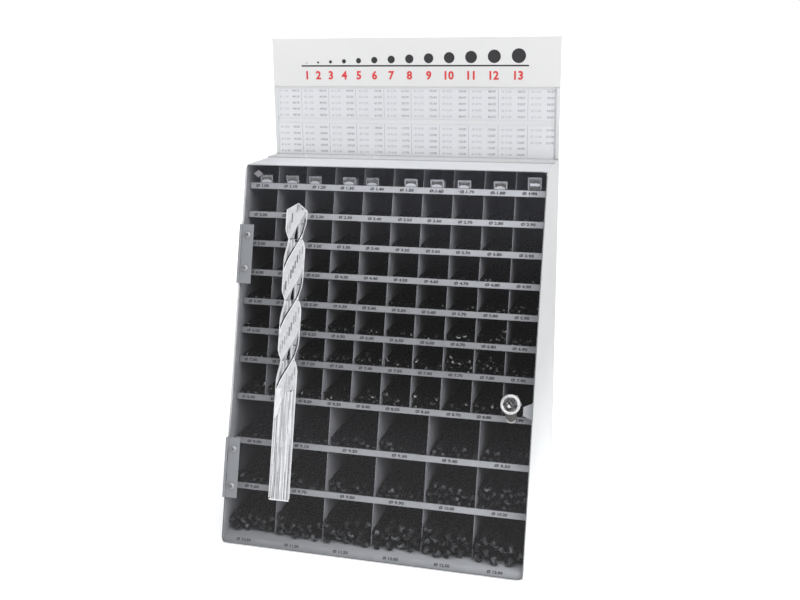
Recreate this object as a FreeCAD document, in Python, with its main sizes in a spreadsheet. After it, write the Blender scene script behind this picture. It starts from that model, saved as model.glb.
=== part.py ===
import FreeCAD, Part
import Sketcher
import os
from FreeCAD import Vector, Placement, Rotation

# Countertop cabinet for twist drills.
# Frame: millimetres, +Z up, the front faces -Y, the origin is the middle of
# the base plate's footprint on the plane that the cabinet stands on.
# The front of the case leans back. Door coordinates: x across, s up the slope
# from the door's bottom edge, n out of the door's outer face. A "rec" is a
# depth behind that face, so rec = -n.

doc = FreeCAD.newDocument("drill_case")
sheet = doc.addObject("Spreadsheet::Sheet", "dims")

SIZES = [
    ("lean", 16.4), ("door_foot_y", -127.6), ("door_foot_z", 2.0),
    ("half_wide", 200.0), ("rear_y", 123.5), ("case_high", 480.7), ("full_high", 640.0),
    ("skin", 1.2), ("shelf_thick", 1.0), ("front_rec", 4.5),
    ("lip_rec", 18.0), ("lip_thick", 1.0), ("lip_high", 8.5), ("divider_rec", 20.0), ("divider_thick", 0.8), ("fold_outer", 1.0),
    ("cols_small", 10), ("cols_large", 6),
    ("lip_s_1", 469.6), ("lip_s_2", 431.1), ("lip_s_3", 392.5), ("lip_s_4", 353.7), ("lip_s_5", 315.1),
    ("lip_s_6", 276.3), ("lip_s_7", 237.4), ("lip_s_8", 188.0), ("lip_s_9", 129.5), ("lip_s_10", 69.8),
    ("tray_top", 9.15), ("tray_rec", 5.0), ("strip_thick", 0.4), ("strip_margin", 0.4), ("strip_end", 1.5),
    ("board_thick", 1.5), ("board_half", 199.5), ("foot_deep", 35.0), ("bend_inner", 0.5),
    ("sign_low", 576.0), ("sign_thick", 1.0), ("sign_half", 199.0),
    ("card_half", 196.0), ("card_thick", 0.4), ("cover_thick", 1.0),
    ("upper_low", 533.0), ("upper_high", 574.0), ("lower_low", 483.0), ("lower_high", 527.0),
    ("rail_front", 2.2), ("rail_lip", 1.4), ("rail_lip_thick", 0.7), ("rail_gap", 0.2),
    ("rivet_head", 3.2), ("rivet_dome", 1.2), ("rivet_shank", 1.6), ("rivet_hole", 1.65), ("rivet_tail", 2.3),
    ("header_rivet_out", 150.0), ("header_rivet_mid", 50.0), ("header_rivet_y", 104.0),
    ("door_thick", 4.0), ("door_left", -199.6), ("door_right", 200.0), ("door_long", 499.0), ("door_corner", 7.0),
    ("pin_x", -199.9), ("pin_n", 1.9), ("barrel", 1.7), ("pin_radius", 0.9), ("bore_case", 0.92), ("bore_door", 0.95),
    ("leaf_thick", 1.0), ("leaf_edge", -182.0), ("leaf_notch_x", -197.9), ("case_leaf_rec", 19.0),
    ("case_leaf_notch", -0.3), ("case_leaf_top", 1.05), ("knuckle_gap", 0.3),
    ("hinge_up_low", 342.0), ("hinge_up_high", 420.0), ("hinge_dn_low", 59.5), ("hinge_dn_high", 138.5),
    ("screw_x_a", -190.0), ("screw_s_a", 406.0), ("screw_x_b", -191.0), ("screw_s_b", 362.0),
    ("screw_x_c", -190.5), ("screw_s_c", 123.5), ("screw_x_d", -190.0), ("screw_s_d", 74.7),
    ("screw_head", 4.2), ("screw_head_high", 2.4), ("screw_shank", 2.0), ("screw_hole", 2.15), ("screw_tip", 8.2),
    ("nut_circum", 4.04), ("nut_high", 3.2), ("nut_bore", 2.03), ("case_rivet_rec", 12.0),
    ("lock_x", 172.3), ("lock_s", 212.6), ("ring_radius", 12.25), ("ring_front", 5.0), ("ring_edge", 3.8),
    ("ring_crown", 11.2), ("recess_radius", 9.0), ("recess_edge", 9.6), ("recess_floor", 3.2), ("housing_radius", 9.4), ("housing_back", -11.0),
    ("housing_hole", 9.55), ("plug_bore", 5.95), ("plug_radius", 5.9), ("plug_front", 4.2), ("plug_back", -11.1),
    ("key_wide", 1.8), ("key_long", 7.6), ("key_deep", 8.0), ("key_turn", 45.0), ("tang", 6.0), ("tang_hole", 6.1),
    ("lock_nut_circum", 12.7), ("lock_nut_front", -4.05), ("lock_nut_back", -9.0), ("lock_nut_bore", 9.45),
    ("cam_front", -11.3), ("cam_thick", 2.0), ("cam_hub", 8.0), ("cam_half", 6.5), ("cam_reach", 24.0),
    ("cam_screw_head", 4.2), ("cam_screw_high", 2.3), ("cam_screw_shank", 1.5), ("cam_screw_deep", 7.0), ("cam_screw_hole", 1.53),
    ("tab_front", -8.8), ("tab_thick", 1.5), ("tab_tip", 187.0), ("tab_low", 194.5), ("tab_high", 215.5),
    ("tab_tip_low", 199.0), ("tab_tip_high", 210.0), ("tab_flange_rec", 16.5),
    ("sticker_x", -180.7), ("sticker_s", 487.5), ("sticker_wide", 13.4), ("sticker_high", 10.0), ("sticker_thick", 0.2),
    ("decal_x", -123.0), ("decal_half", 14.5), ("decal_low", 62.5), ("decal_high", 450.5), ("decal_point", 7.5), ("decal_thick", 0.15),
    ("box_wide", 17.0), ("box_deep", 45.0), ("box_body_high", 15.0), ("box_tall_body", 21.0), ("box_lid_high", 2.0), ("box_wall", 1.0),
    ("box_rim", 1.5), ("box_rim_gap", 0.1), ("box_front_y", 26.0),
    ("box_x_1", -175.8), ("box_x_2", -138.6), ("box_x_3", -107.0), ("box_x_4", -59.6), ("box_x_5", -28.4),
    ("box_x_6", 23.6), ("box_x_7", 58.0), ("box_x_8", 93.5), ("box_x_9", 139.8), ("box_x_10", 182.8),
]
for row, (alias, value) in enumerate(SIZES, 1):
    sheet.set("A%d" % row, alias)
    sheet.set("B%d" % row, repr(value))
    sheet.setAlias("B%d" % row, alias)
doc.recompute()


def D(alias):
    return "dims." + alias


def val(expr):
    got = sheet.evalExpression(str(expr))
    return float(got.Value) if hasattr(got, "Value") else float(got)


SIN = "sin(dims.lean * 1 deg)"
COS = "cos(dims.lean * 1 deg)"
TAN = "tan(dims.lean * 1 deg)"
DOOR_TURN = "(90 - dims.lean) * 1 deg"


# a point of the leaning front, given by s and rec, in the case's y and z
def y_of(s, rec):
    return "(dims.door_foot_y + (%s) * %s + (%s) * %s)" % (s, SIN, rec, COS)


def z_of(s, rec):
    return "(dims.door_foot_z + (%s) * %s - (%s) * %s)" % (s, COS, rec, SIN)


# y of the plane that lies rec behind the door's face, at the height z
def y_at(z, rec):
    return "(dims.door_foot_y + ((%s) - dims.door_foot_z) * %s + (%s) / %s)" % (z, TAN, rec, COS)


nodes = []


def origin_item(body, role):
    for item in body.Origin.OriginFeatures:
        if item.Role == role:
            return item
    raise RuntimeError("no " + role)


def new_body(label):
    body = doc.addObject("PartDesign::Body", label)
    body.Label = label
    nodes.append(body)
    return body


# stands a body or a primitive on the leaning door: local x, y, z become x, s, n
def on_door(obj, x="0", s="0", n="0"):
    obj.Placement = Placement(Vector(0, 0, 0), Rotation(Vector(1, 0, 0), val(DOOR_TURN)))
    obj.setExpression("Placement.Base.x", "%s" % x)
    obj.setExpression("Placement.Base.y", y_of(s, "-(%s)" % n))
    obj.setExpression("Placement.Base.z", z_of(s, "-(%s)" % n))
    obj.setExpression("Placement.Rotation.Angle", DOOR_TURN)
    return obj


def at(obj, x="0", y="0", z="0", rot=None):
    obj.Placement = Placement(Vector(0, 0, 0), rot or Rotation())
    obj.setExpression("Placement.Base.x", "%s" % x)
    obj.setExpression("Placement.Base.y", "%s" % y)
    obj.setExpression("Placement.Base.z", "%s" % z)
    return obj


def sketch(body, name, role, offset="0"):
    sk = body.newObject("Sketcher::SketchObject", body.Label + "_" + name)
    sk.AttachmentSupport = [(origin_item(body, role), "")]
    sk.MapMode = "FlatFace"
    sk.AttachmentOffset = Placement(Vector(0, 0, val(offset)), Rotation())
    if str(offset) != "0":
        sk.setExpression("AttachmentOffset.Base.z", "%s" % offset)
    return sk


def polygon(sk, points):
    first = sk.GeometryCount
    vecs = [Vector(val(px), val(py), 0) for px, py in points]
    count = len(vecs)
    for i in range(count):
        sk.addGeometry(Part.LineSegment(vecs[i], vecs[(i + 1) % count]), False)
    for i in range(count):
        sk.addConstraint(Sketcher.Constraint("Coincident", first + i, 2, first + (i + 1) % count, 1))
    for i in range(count):
        k = sk.addConstraint(Sketcher.Constraint("DistanceX", -1, 1, first + i, 1, vecs[i].x))
        sk.setExpression("Constraints[%d]" % k, "%s" % points[i][0])
        k = sk.addConstraint(Sketcher.Constraint("DistanceY", -1, 1, first + i, 1, vecs[i].y))
        sk.setExpression("Constraints[%d]" % k, "%s" % points[i][1])


def circle(sk, cx, cy, radius):
    i = sk.addGeometry(Part.Circle(Vector(val(cx), val(cy), 0), Vector(0, 0, 1), val(radius)), False)
    k = sk.addConstraint(Sketcher.Constraint("DistanceX", -1, 1, i, 3, val(cx)))
    sk.setExpression("Constraints[%d]" % k, "%s" % cx)
    k = sk.addConstraint(Sketcher.Constraint("DistanceY", -1, 1, i, 3, val(cy)))
    sk.setExpression("Constraints[%d]" % k, "%s" % cy)
    k = sk.addConstraint(Sketcher.Constraint("Radius", i, val(radius)))
    sk.setExpression("Constraints[%d]" % k, "%s" % radius)


def pad(body, sk, length, reverse=False):
    ft = body.newObject("PartDesign::Pad", sk.Label + "_pad")
    ft.Profile = sk
    ft.Length = val(length)
    ft.setExpression("Length", "%s" % length)
    ft.Reversed = reverse
    body.Tip = ft
    return ft


def pocket_through(body, sk):
    ft = body.newObject("PartDesign::Pocket", sk.Label + "_cut")
    ft.Profile = sk
    ft.Type = "ThroughAll"
    ft.SideType = "Symmetric"
    body.Tip = ft
    return ft


def revolve(body, sk):
    ft = body.newObject("PartDesign::Revolution", sk.Label + "_turn")
    ft.Profile = sk
    ft.ReferenceAxis = (sk, ["V_Axis"])
    ft.Angle = 360.0
    body.Tip = ft
    return ft


def pattern(body, feature, axis, length, count):
    ft = body.newObject("PartDesign::LinearPattern", feature.Label + "_row")
    ft.Originals = [feature]
    ft.Direction = (origin_item(body, axis), [""])
    ft.Length = val(length)
    ft.Occurrences = int(val(count))
    ft.setExpression("Length", "%s" % length)
    ft.setExpression("Occurrences", "%s" % count)
    body.Tip = ft
    return ft


# a plate or folded sheet that runs across the case: a y, z profile padded in x
def across(label, points, x_low, x_high):
    body = new_body(label)
    sk = sketch(body, "profile", "YZ_Plane", x_low)
    polygon(sk, points)
    pad(body, sk, "(%s) - (%s)" % (x_high, x_low))
    return body


def edges_at(shape, y, z):
    found = []
    for i, e in enumerate(shape.Edges, 1):
        if len(e.Vertexes) == 2 and all(abs(v.Y - y) < 1e-4 and abs(v.Z - z) < 1e-4 for v in e.Vertexes):
            found.append("Edge%d" % i)
    return found


# edges whose two ends both satisfy a test of x, y and z
def edges_where(shape, test):
    found = []
    for i, e in enumerate(shape.Edges, 1):
        if len(e.Vertexes) == 2 and all(test(v.X, v.Y, v.Z) for v in e.Vertexes):
            found.append("Edge%d" % i)
    return found


def round_edges(body, name, edges, radius):
    last = body.Tip
    f = body.newObject("PartDesign::Fillet", body.Label + "_" + name)
    f.Base = (last, edges)
    f.Radius = val(radius)
    f.setExpression("Radius", radius)
    body.Tip = f
    return f


def box_points(y0, z0, y1, z1):
    return [(y0, z0), (y1, z0), (y1, z1), (y0, z1)]


# ---------------------------------------------------------------- case shell
inner = "(dims.half_wide - dims.skin)"
back_in = "(dims.rear_y - dims.skin)"
roof_under = "(dims.case_high - dims.skin)"

SIDE = [(y_at("0", D("front_rec")), "0"), (D("rear_y"), "0"), (D("rear_y"), D("case_high")),
        (y_at(D("case_high"), D("front_rec")), D("case_high"))]
side_left = across("side_panel_left", SIDE, "-dims.half_wide", "-" + inner)
holes = sketch(side_left, "rivet_holes", "YZ_Plane", "-dims.half_wide")
for key in "abcd":
    circle(holes, y_of(D("screw_s_" + key), D("case_rivet_rec")), z_of(D("screw_s_" + key), D("case_rivet_rec")), D("rivet_hole"))
pocket_through(side_left, holes)
side_right = across("side_panel_right", SIDE, inner, D("half_wide"))
# the folds from the sides to the top and to the back are rounded outside
doc.recompute()
for panel, sign in ((side_left, -1), (side_right, 1)):
    far, high, rear = sign * val(D("half_wide")), val(D("case_high")), val(D("rear_y"))
    tops = edges_where(panel.Tip.Shape, lambda x, y, z: abs(x - far) < 1e-4 and abs(z - high) < 1e-4)
    backs = edges_where(panel.Tip.Shape, lambda x, y, z: abs(x - far) < 1e-4 and abs(y - rear) < 1e-4)
    round_edges(panel, "folds", tops + backs, D("fold_outer"))

top = across("top_panel", box_points(y_at(D("case_high"), D("front_rec")), roof_under, D("rear_y"), D("case_high")), "-" + inner, inner)
holes = sketch(top, "rivet_holes", "XY_Plane", roof_under)
for px in ("-dims.header_rivet_out", "-dims.header_rivet_mid", "dims.header_rivet_mid", "dims.header_rivet_out"):
    circle(holes, px, D("header_rivet_y"), D("rivet_hole"))
pocket_through(top, holes)

across("bottom_panel", [(y_at("0", D("front_rec")), "0"), (D("rear_y"), "0"), (D("rear_y"), D("skin")),
                        (y_at(D("skin"), D("front_rec")), D("skin"))], "-" + inner, inner)
across("back_panel", box_points(back_in, D("skin"), D("rear_y"), roof_under), "-" + inner, inner)

# raised floor with a front flange that stands on the bottom panel
tray_under = "(dims.tray_top - dims.shelf_thick)"
flange_in = "(dims.tray_rec + dims.shelf_thick)"
across("floor_tray", [(y_at(D("skin"), D("tray_rec")), D("skin")), (y_at(D("skin"), flange_in), D("skin")),
                      (y_at(tray_under, flange_in), tray_under), (back_in, tray_under), (back_in, D("tray_top")),
                      (y_at(D("tray_top"), D("tray_rec")), D("tray_top"))], "-" + inner, inner)

# ---------------------------------------------------------------- shelves and dividers
floor_z = {}
under_z = {1: roof_under}
for k in range(1, 11):
    s0 = D("lip_s_%d" % k)
    low = z_of(s0, D("lip_rec"))
    up = "(%s + dims.shelf_thick)" % low
    lip_in = "(dims.lip_rec + dims.lip_thick)"
    s1 = "(%s + dims.lip_high)" % s0
    across("shelf_%02d" % k, [(y_of(s0, D("lip_rec")), low), (back_in, low), (back_in, up), (y_at(up, lip_in), up),
                              (y_of(s1, lip_in), z_of(s1, lip_in)), (y_of(s1, D("lip_rec")), z_of(s1, D("lip_rec")))],
           "-" + inner, inner)
    floor_z[k] = up
    under_z[k + 1] = low
floor_z[11] = D("tray_top")

for k in range(1, 12):
    cols = D("cols_small") if k <= 8 else D("cols_large")
    pitch = "(2 * %s / %s)" % (inner, cols)
    body = new_body("dividers_row_%02d" % k)
    sk = sketch(body, "profile", "YZ_Plane", "-%s + %s - dims.divider_thick / 2" % (inner, pitch))
    polygon(sk, [(y_at(floor_z[k], D("divider_rec")), floor_z[k]), (back_in, floor_z[k]), (back_in, under_z[k]),
                 (y_at(under_z[k], D("divider_rec")), under_z[k])])
    plate = pad(body, sk, D("divider_thick"))
    pattern(body, plate, "X_Axis", "%s * (%s - 2)" % (pitch, cols), "%s - 1" % cols)


def compound(label, parts):
    comp = doc.addObject("Part::Compound", label)
    comp.Label = label
    comp.Links = parts
    nodes.append(comp)
    return comp


def slab(name, dx, dy, dz):
    b = doc.addObject("Part::Box", name)
    b.setExpression("Length", "%s" % dx)
    b.setExpression("Width", "%s" % dy)
    b.setExpression("Height", "%s" % dz)
    return b


def rod(name, radius, height):
    c = doc.addObject("Part::Cylinder", name)
    c.setExpression("Radius", "%s" % radius)
    c.setExpression("Height", "%s" % height)
    return c


def taper(name, r_low, r_high, height):
    c = doc.addObject("Part::Cone", name)
    c.setExpression("Radius1", "%s" % r_low)
    c.setExpression("Radius2", "%s" % r_high)
    c.setExpression("Height", "%s" % height)
    return c


def fuse(name, parts):
    f = doc.addObject("Part::MultiFuse", name)
    f.Shapes = parts
    return f


def cut(name, base, tool):
    c = doc.addObject("Part::Cut", name)
    c.Base = base
    c.Tool = tool
    return c


# label strips, glued on the lips and on the floor tray's flange
strips = []
strip_len = "(2 * (%s - dims.strip_end))" % inner
for k in range(1, 12):
    b = slab("strip_%02d" % k, strip_len, "dims.lip_high - 2 * dims.strip_margin", D("strip_thick"))
    if k <= 10:
        on_door(b, "-%s + dims.strip_end" % inner, "dims.lip_s_%d + dims.strip_margin" % k, "-dims.lip_rec")
    else:
        on_door(b, "-%s + dims.strip_end" % inner, "0.9", "-dims.tray_rec")
    strips.append(b)
compound("label_strips", strips)

# ---------------------------------------------------------------- header
board_front = "(dims.rear_y - dims.board_thick)"
board = across("header_board", [("%s - dims.foot_deep" % board_front, D("case_high")), (D("rear_y"), D("case_high")),
                                (D("rear_y"), D("full_high")), (board_front, D("full_high")),
                                (board_front, "dims.case_high + dims.board_thick"),
                                ("%s - dims.foot_deep" % board_front, "dims.case_high + dims.board_thick")],
               "-dims.board_half", D("board_half"))
doc.recompute()


for name, y, z, rad in (("inner_bend", val(board_front), val("dims.case_high + dims.board_thick"), "bend_inner"),
                        ("outer_bend", val(D("rear_y")), val(D("case_high")), "board_thick")):
    last = board.Tip
    f = board.newObject("PartDesign::Fillet", "header_" + name)
    f.Base = (last, edges_at(last.Shape, y, z))
    f.Radius = val(D(rad))
    f.setExpression("Radius", D(rad))
    board.Tip = f
    doc.recompute()
holes = sketch(board, "rivet_holes", "XY_Plane", D("case_high"))
for px in ("-dims.header_rivet_out", "-dims.header_rivet_mid", "dims.header_rivet_mid", "dims.header_rivet_out"):
    circle(holes, px, D("header_rivet_y"), D("rivet_hole"))
pocket_through(board, holes)

rivets = []
for i, px in enumerate(("-dims.header_rivet_out", "-dims.header_rivet_mid", "dims.header_rivet_mid", "dims.header_rivet_out")):
    seat = "(dims.case_high + dims.board_thick)"
    head = at(taper("hr_head_%d" % i, D("rivet_head"), "dims.rivet_head * 0.55", D("rivet_dome")), px, D("header_rivet_y"), seat)
    shank = at(rod("hr_shank_%d" % i, D("rivet_shank"), "dims.board_thick + dims.skin + 1.0"), px, D("header_rivet_y"), "dims.case_high - dims.skin - 1.0")
    tail = at(taper("hr_tail_%d" % i, "dims.rivet_tail * 0.6", D("rivet_tail"), "2.0"), px, D("header_rivet_y"), "dims.case_high - dims.skin - 2.0")
    rivets.append(fuse("header_rivet_%d" % i, [head, shank, tail]))
compound("header_rivets", rivets)

across("sign_plate", box_points("%s - dims.sign_thick" % board_front, D("sign_low"), board_front, D("full_high")),
       "-dims.sign_half", D("sign_half"))
for part in ("upper", "lower"):
    lo, hi = D(part + "_low"), D(part + "_high")
    across("table_card_" + part, box_points("%s - dims.card_thick" % board_front, lo, board_front, hi), "-dims.card_half", D("card_half"))
    across("card_cover_" + part, box_points("%s - dims.card_thick - dims.cover_thick" % board_front, lo, "%s - dims.card_thick" % board_front, hi),
           "-dims.card_half", D("card_half"))

# two rails with a front lip hold the cards and their covers at the sides
rails = new_body("card_rails")
sk = sketch(rails, "profile", "XY_Plane", D("lower_low"))
for sign in ("-", ""):
    out, mid, lip = "%sdims.sign_half" % sign, "%s(dims.card_half + dims.rail_gap)" % sign, "%s(dims.card_half + dims.rail_gap - dims.rail_lip)" % sign
    front, lip_back = "%s - dims.rail_front" % board_front, "%s - dims.rail_front + dims.rail_lip_thick" % board_front
    polygon(sk, [(out, front), (lip, front), (lip, lip_back), (mid, lip_back), (mid, board_front), (out, board_front)])
pad(rails, sk, "dims.sign_low - 1.0 - dims.lower_low")

# ---------------------------------------------------------------- door
door = new_body("door_panel")
on_door(door)
sk = sketch(door, "outline", "XY_Plane", "-dims.door_thick")
polygon(sk, [(D("door_left"), "0"), (D("door_right"), "0"), (D("door_right"), D("door_long")), (D("door_left"), D("door_long"))])
sheet_pad = pad(door, sk, D("door_thick"))
doc.recompute()
corners = ["Edge%d" % i for i, e in enumerate(sheet_pad.Shape.Edges, 1)
           if abs(e.Vertexes[0].X - e.Vertexes[1].X) < 1e-6 and abs(e.Vertexes[0].Y - e.Vertexes[1].Y) < 1e-6]
f = door.newObject("PartDesign::Fillet", "door_corners")
f.Base = (sheet_pad, corners)
f.Radius = val(D("door_corner"))
f.setExpression("Radius", D("door_corner"))
door.Tip = f
doc.recompute()
holes = sketch(door, "holes", "XY_Plane", "-dims.door_thick")
for key in "abcd":
    circle(holes, D("screw_x_" + key), D("screw_s_" + key), D("screw_hole"))
circle(holes, D("lock_x"), D("lock_s"), D("housing_hole"))
pocket_through(door, holes)

# hinges: five knuckles each, the door leaf has the outer and the middle ones
for part, tag, keys in (("upper", "up", "ab"), ("lower", "dn", "cd")):
    lo, hi = D("hinge_%s_low" % tag), D("hinge_%s_high" % tag)
    kn = "((%s - %s - 4 * dims.knuckle_gap) / 5)" % (hi, lo)

    def start(i):
        return "(%s + %d * (%s + dims.knuckle_gap))" % (lo, i, kn)

    def end(i):
        return "(%s + %s)" % (start(i), kn)

    leaf = new_body("hinge_door_leaf_" + part)
    on_door(leaf)
    sk = sketch(leaf, "plate", "XY_Plane")
    edge, notch = D("pin_x"), D("leaf_notch_x")
    pts = [(D("leaf_edge"), lo), (D("leaf_edge"), hi), (edge, hi)]
    pts += [(edge, start(4)), (notch, start(4)), (notch, end(2)), (edge, end(2)), (edge, start(2)), (notch, start(2)), (notch, end(0)), (edge, end(0)), (edge, lo)]
    polygon(sk, pts)
    pad(leaf, sk, D("leaf_thick"))
    sk = sketch(leaf, "knuckle", "XZ_Plane", "-" + lo)
    circle(sk, D("pin_x"), D("pin_n"), D("barrel"))
    k1 = pad(leaf, sk, kn, True)
    pattern(leaf, k1, "Y_Axis", "4 * (%s + dims.knuckle_gap)" % kn, "3")
    sk = sketch(leaf, "bore", "XZ_Plane", "-" + lo)
    circle(sk, D("pin_x"), D("pin_n"), D("bore_door"))
    pocket_through(leaf, sk)
    sk = sketch(leaf, "screw_holes", "XY_Plane")
    for key in keys:
        circle(sk, D("screw_x_" + key), D("screw_s_" + key), D("screw_hole"))
    pocket_through(leaf, sk)

    leaf = new_body("hinge_case_leaf_" + part)
    on_door(leaf)
    sk = sketch(leaf, "plate", "YZ_Plane", "-dims.half_wide - dims.leaf_thick")
    deep, rest, tall = "-dims.case_leaf_rec", D("case_leaf_notch"), D("case_leaf_top")
    polygon(sk, [(lo, deep), (hi, deep), (hi, rest), (end(3), rest), (end(3), tall), (start(3), tall), (start(3), rest),
                 (end(1), rest), (end(1), tall), (start(1), tall), (start(1), rest), (lo, rest)])
    pad(leaf, sk, D("leaf_thick"))
    sk = sketch(leaf, "knuckle", "XZ_Plane", "-" + start(1))
    circle(sk, D("pin_x"), D("pin_n"), D("barrel"))
    k1 = pad(leaf, sk, kn, True)
    pattern(leaf, k1, "Y_Axis", "2 * (%s + dims.knuckle_gap)" % kn, "2")
    sk = sketch(leaf, "bore", "XZ_Plane", "-" + lo)
    circle(sk, D("pin_x"), D("pin_n"), D("bore_case"))
    pocket_through(leaf, sk)
    sk = sketch(leaf, "rivet_holes", "YZ_Plane", "-dims.half_wide")
    for key in keys:
        circle(sk, D("screw_s_" + key), "-dims.case_rivet_rec", D("rivet_hole"))
    pocket_through(leaf, sk)

    pin = new_body("hinge_pin_" + part)
    on_door(pin)
    sk = sketch(pin, "round", "XZ_Plane", "-" + lo)
    circle(sk, D("pin_x"), D("pin_n"), D("pin_radius"))
    pad(pin, sk, "%s - %s" % (hi, lo), True)

# rivets of the case leaves: head outside, tail inside the case
rivets = []
to_left = Rotation(Vector(0, 1, 0), -90)
for key in "abcd":
    ry, rz = y_of(D("screw_s_" + key), D("case_rivet_rec")), z_of(D("screw_s_" + key), D("case_rivet_rec"))
    head = at(taper("cr_head_" + key, D("rivet_head"), "dims.rivet_head * 0.55", D("rivet_dome")), "-dims.half_wide - dims.leaf_thick", ry, rz, to_left)
    shank = at(rod("cr_shank_" + key, D("rivet_shank"), "dims.leaf_thick + dims.skin + 1.0"), "-%s + 1.0" % inner, ry, rz, to_left)
    tail = at(taper("cr_tail_" + key, "dims.rivet_tail * 0.6", D("rivet_tail"), "2.0"), "-%s + 2.0" % inner, ry, rz, to_left)
    rivets.append(fuse("case_rivet_" + key, [head, shank, tail]))
compound("case_leaf_rivets", rivets)

# screws and nuts of the door leaves
screws, nuts = [], []
for key in "abcd":
    sx, ss = D("screw_x_" + key), D("screw_s_" + key)
    edge = on_door(rod("ds_edge_" + key, D("screw_head"), "dims.screw_head_high * 0.45"), sx, ss, D("leaf_thick"))
    dome = on_door(taper("ds_dome_" + key, D("screw_head"), "dims.screw_head * 0.6", "dims.screw_head_high * 0.55"), sx, ss, "dims.leaf_thick + dims.screw_head_high * 0.45")
    slot_a = on_door(slab("ds_slot_a_" + key, "4.4", "1.0", "2.0"), "%s - 2.2" % sx, "%s - 0.5" % ss, "dims.leaf_thick + dims.screw_head_high - 1.3")
    slot_b = on_door(slab("ds_slot_b_" + key, "1.0", "4.4", "2.0"), "%s - 0.5" % sx, "%s - 2.2" % ss, "dims.leaf_thick + dims.screw_head_high - 1.3")
    head = cut("ds_head_" + key, fuse("ds_pan_" + key, [edge, dome]), fuse("ds_cross_" + key, [slot_a, slot_b]))
    shank = on_door(rod("ds_shank_" + key, D("screw_shank"), "dims.screw_tip + dims.leaf_thick"), sx, ss, "-dims.screw_tip")
    screws.append(fuse("door_screw_" + key, [head, shank]))
    hexa = doc.addObject("Part::Prism", "dn_hex_" + key)
    hexa.Polygon = 6
    hexa.setExpression("Circumradius", D("nut_circum"))
    hexa.setExpression("Height", D("nut_high"))
    on_door(hexa, sx, ss, "-dims.door_thick - dims.nut_high")
    bore = on_door(rod("dn_bore_" + key, D("nut_bore"), "dims.nut_high + 2"), sx, ss, "-dims.door_thick - dims.nut_high - 1")
    nuts.append(cut("door_nut_" + key, hexa, bore))
compound("door_leaf_screws", screws)
compound("door_leaf_nuts", nuts)

# diamond-shaped plain sticker and the drill printed on the door
body = new_body("door_sticker")
on_door(body)
sk = sketch(body, "outline", "XY_Plane")
hw, hh = "dims.sticker_wide / 2", "dims.sticker_high / 2"
polygon(sk, [("dims.sticker_x - " + hw, D("sticker_s")), (D("sticker_x"), "dims.sticker_s - " + hh),
             ("dims.sticker_x + " + hw, D("sticker_s")), (D("sticker_x"), "dims.sticker_s + " + hh)])
pad(body, sk, D("sticker_thick"))

body = new_body("drill_decal")
on_door(body)
sk = sketch(body, "outline", "XY_Plane")
left, right = "dims.decal_x - dims.decal_half", "dims.decal_x + dims.decal_half"
polygon(sk, [(left, D("decal_low")), (right, D("decal_low")), (right, "dims.decal_high - dims.decal_point"),
             (D("decal_x"), D("decal_high")), (left, "dims.decal_high - dims.decal_point")])
pad(body, sk, D("decal_thick"))

# ---------------------------------------------------------------- lock
body = new_body("lock_housing")
on_door(body, D("lock_x"), D("lock_s"), "0")
sk = sketch(body, "section", "XZ_Plane")
polygon(sk, [(D("plug_bore"), D("housing_back")), (D("housing_radius"), D("housing_back")), (D("housing_radius"), "0"),
             (D("ring_radius"), "0"), (D("ring_radius"), D("ring_edge")), (D("ring_crown"), D("ring_front")),
             (D("recess_edge"), D("ring_front")), (D("recess_radius"), "dims.ring_front - 0.4"), (D("recess_radius"), D("recess_floor")),
             (D("plug_bore"), D("recess_floor"))])
revolve(body, sk)

hexa = doc.addObject("Part::Prism", "lock_nut_hex")
hexa.Polygon = 6
hexa.setExpression("Circumradius", D("lock_nut_circum"))
hexa.setExpression("Height", "dims.lock_nut_front - dims.lock_nut_back")
on_door(hexa, D("lock_x"), D("lock_s"), D("lock_nut_back"))
bore = on_door(rod("lock_nut_hole", D("lock_nut_bore"), "10"), D("lock_x"), D("lock_s"), "dims.lock_nut_back - 2")
nodes.append(cut("lock_nut", hexa, bore))

body = new_body("lock_plug")
on_door(body, D("lock_x"), D("lock_s"), "0")
sk = sketch(body, "section", "XZ_Plane")
polygon(sk, [("0", D("plug_back")), (D("plug_radius"), D("plug_back")), (D("plug_radius"), "dims.plug_front - 0.5"),
             ("dims.plug_radius - 0.5", D("plug_front")), ("0", D("plug_front"))])
revolve(body, sk)
sk = sketch(body, "tang", "XY_Plane", "dims.cam_front - dims.cam_thick")
half = "dims.tang / 2"
polygon(sk, [("-" + half, "-" + half), (half, "-" + half), (half, half), ("-" + half, half)])
pad(body, sk, "dims.plug_back - dims.cam_front + dims.cam_thick + 0.5")
sk = sketch(body, "keyway", "XY_Plane", D("plug_front"))
tc, ts = "cos(dims.key_turn * 1 deg)", "sin(dims.key_turn * 1 deg)"
pts = []
for a, b in ((-1, -1), (1, -1), (1, 1), (-1, 1)):
    u, w = "(%d * dims.key_wide / 2)" % a, "(%d * dims.key_long / 2)" % b
    pts.append(("%s * %s - %s * %s" % (u, tc, w, ts), "%s * %s + %s * %s" % (u, ts, w, tc)))
polygon(sk, pts)
ft = body.newObject("PartDesign::Pocket", "lock_plug_keyway_cut")
ft.Profile = sk
ft.Length = val(D("key_deep"))
ft.setExpression("Length", D("key_deep"))
body.Tip = ft
sk = sketch(body, "screw_hole", "XY_Plane", "dims.cam_front - dims.cam_thick")
circle(sk, "0", "0", D("cam_screw_hole"))
ft = body.newObject("PartDesign::Pocket", "lock_plug_screw_cut")
ft.Profile = sk
ft.Length = val("dims.cam_screw_deep + 0.5")
ft.setExpression("Length", "dims.cam_screw_deep + 0.5")
ft.Reversed = True
body.Tip = ft

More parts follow.
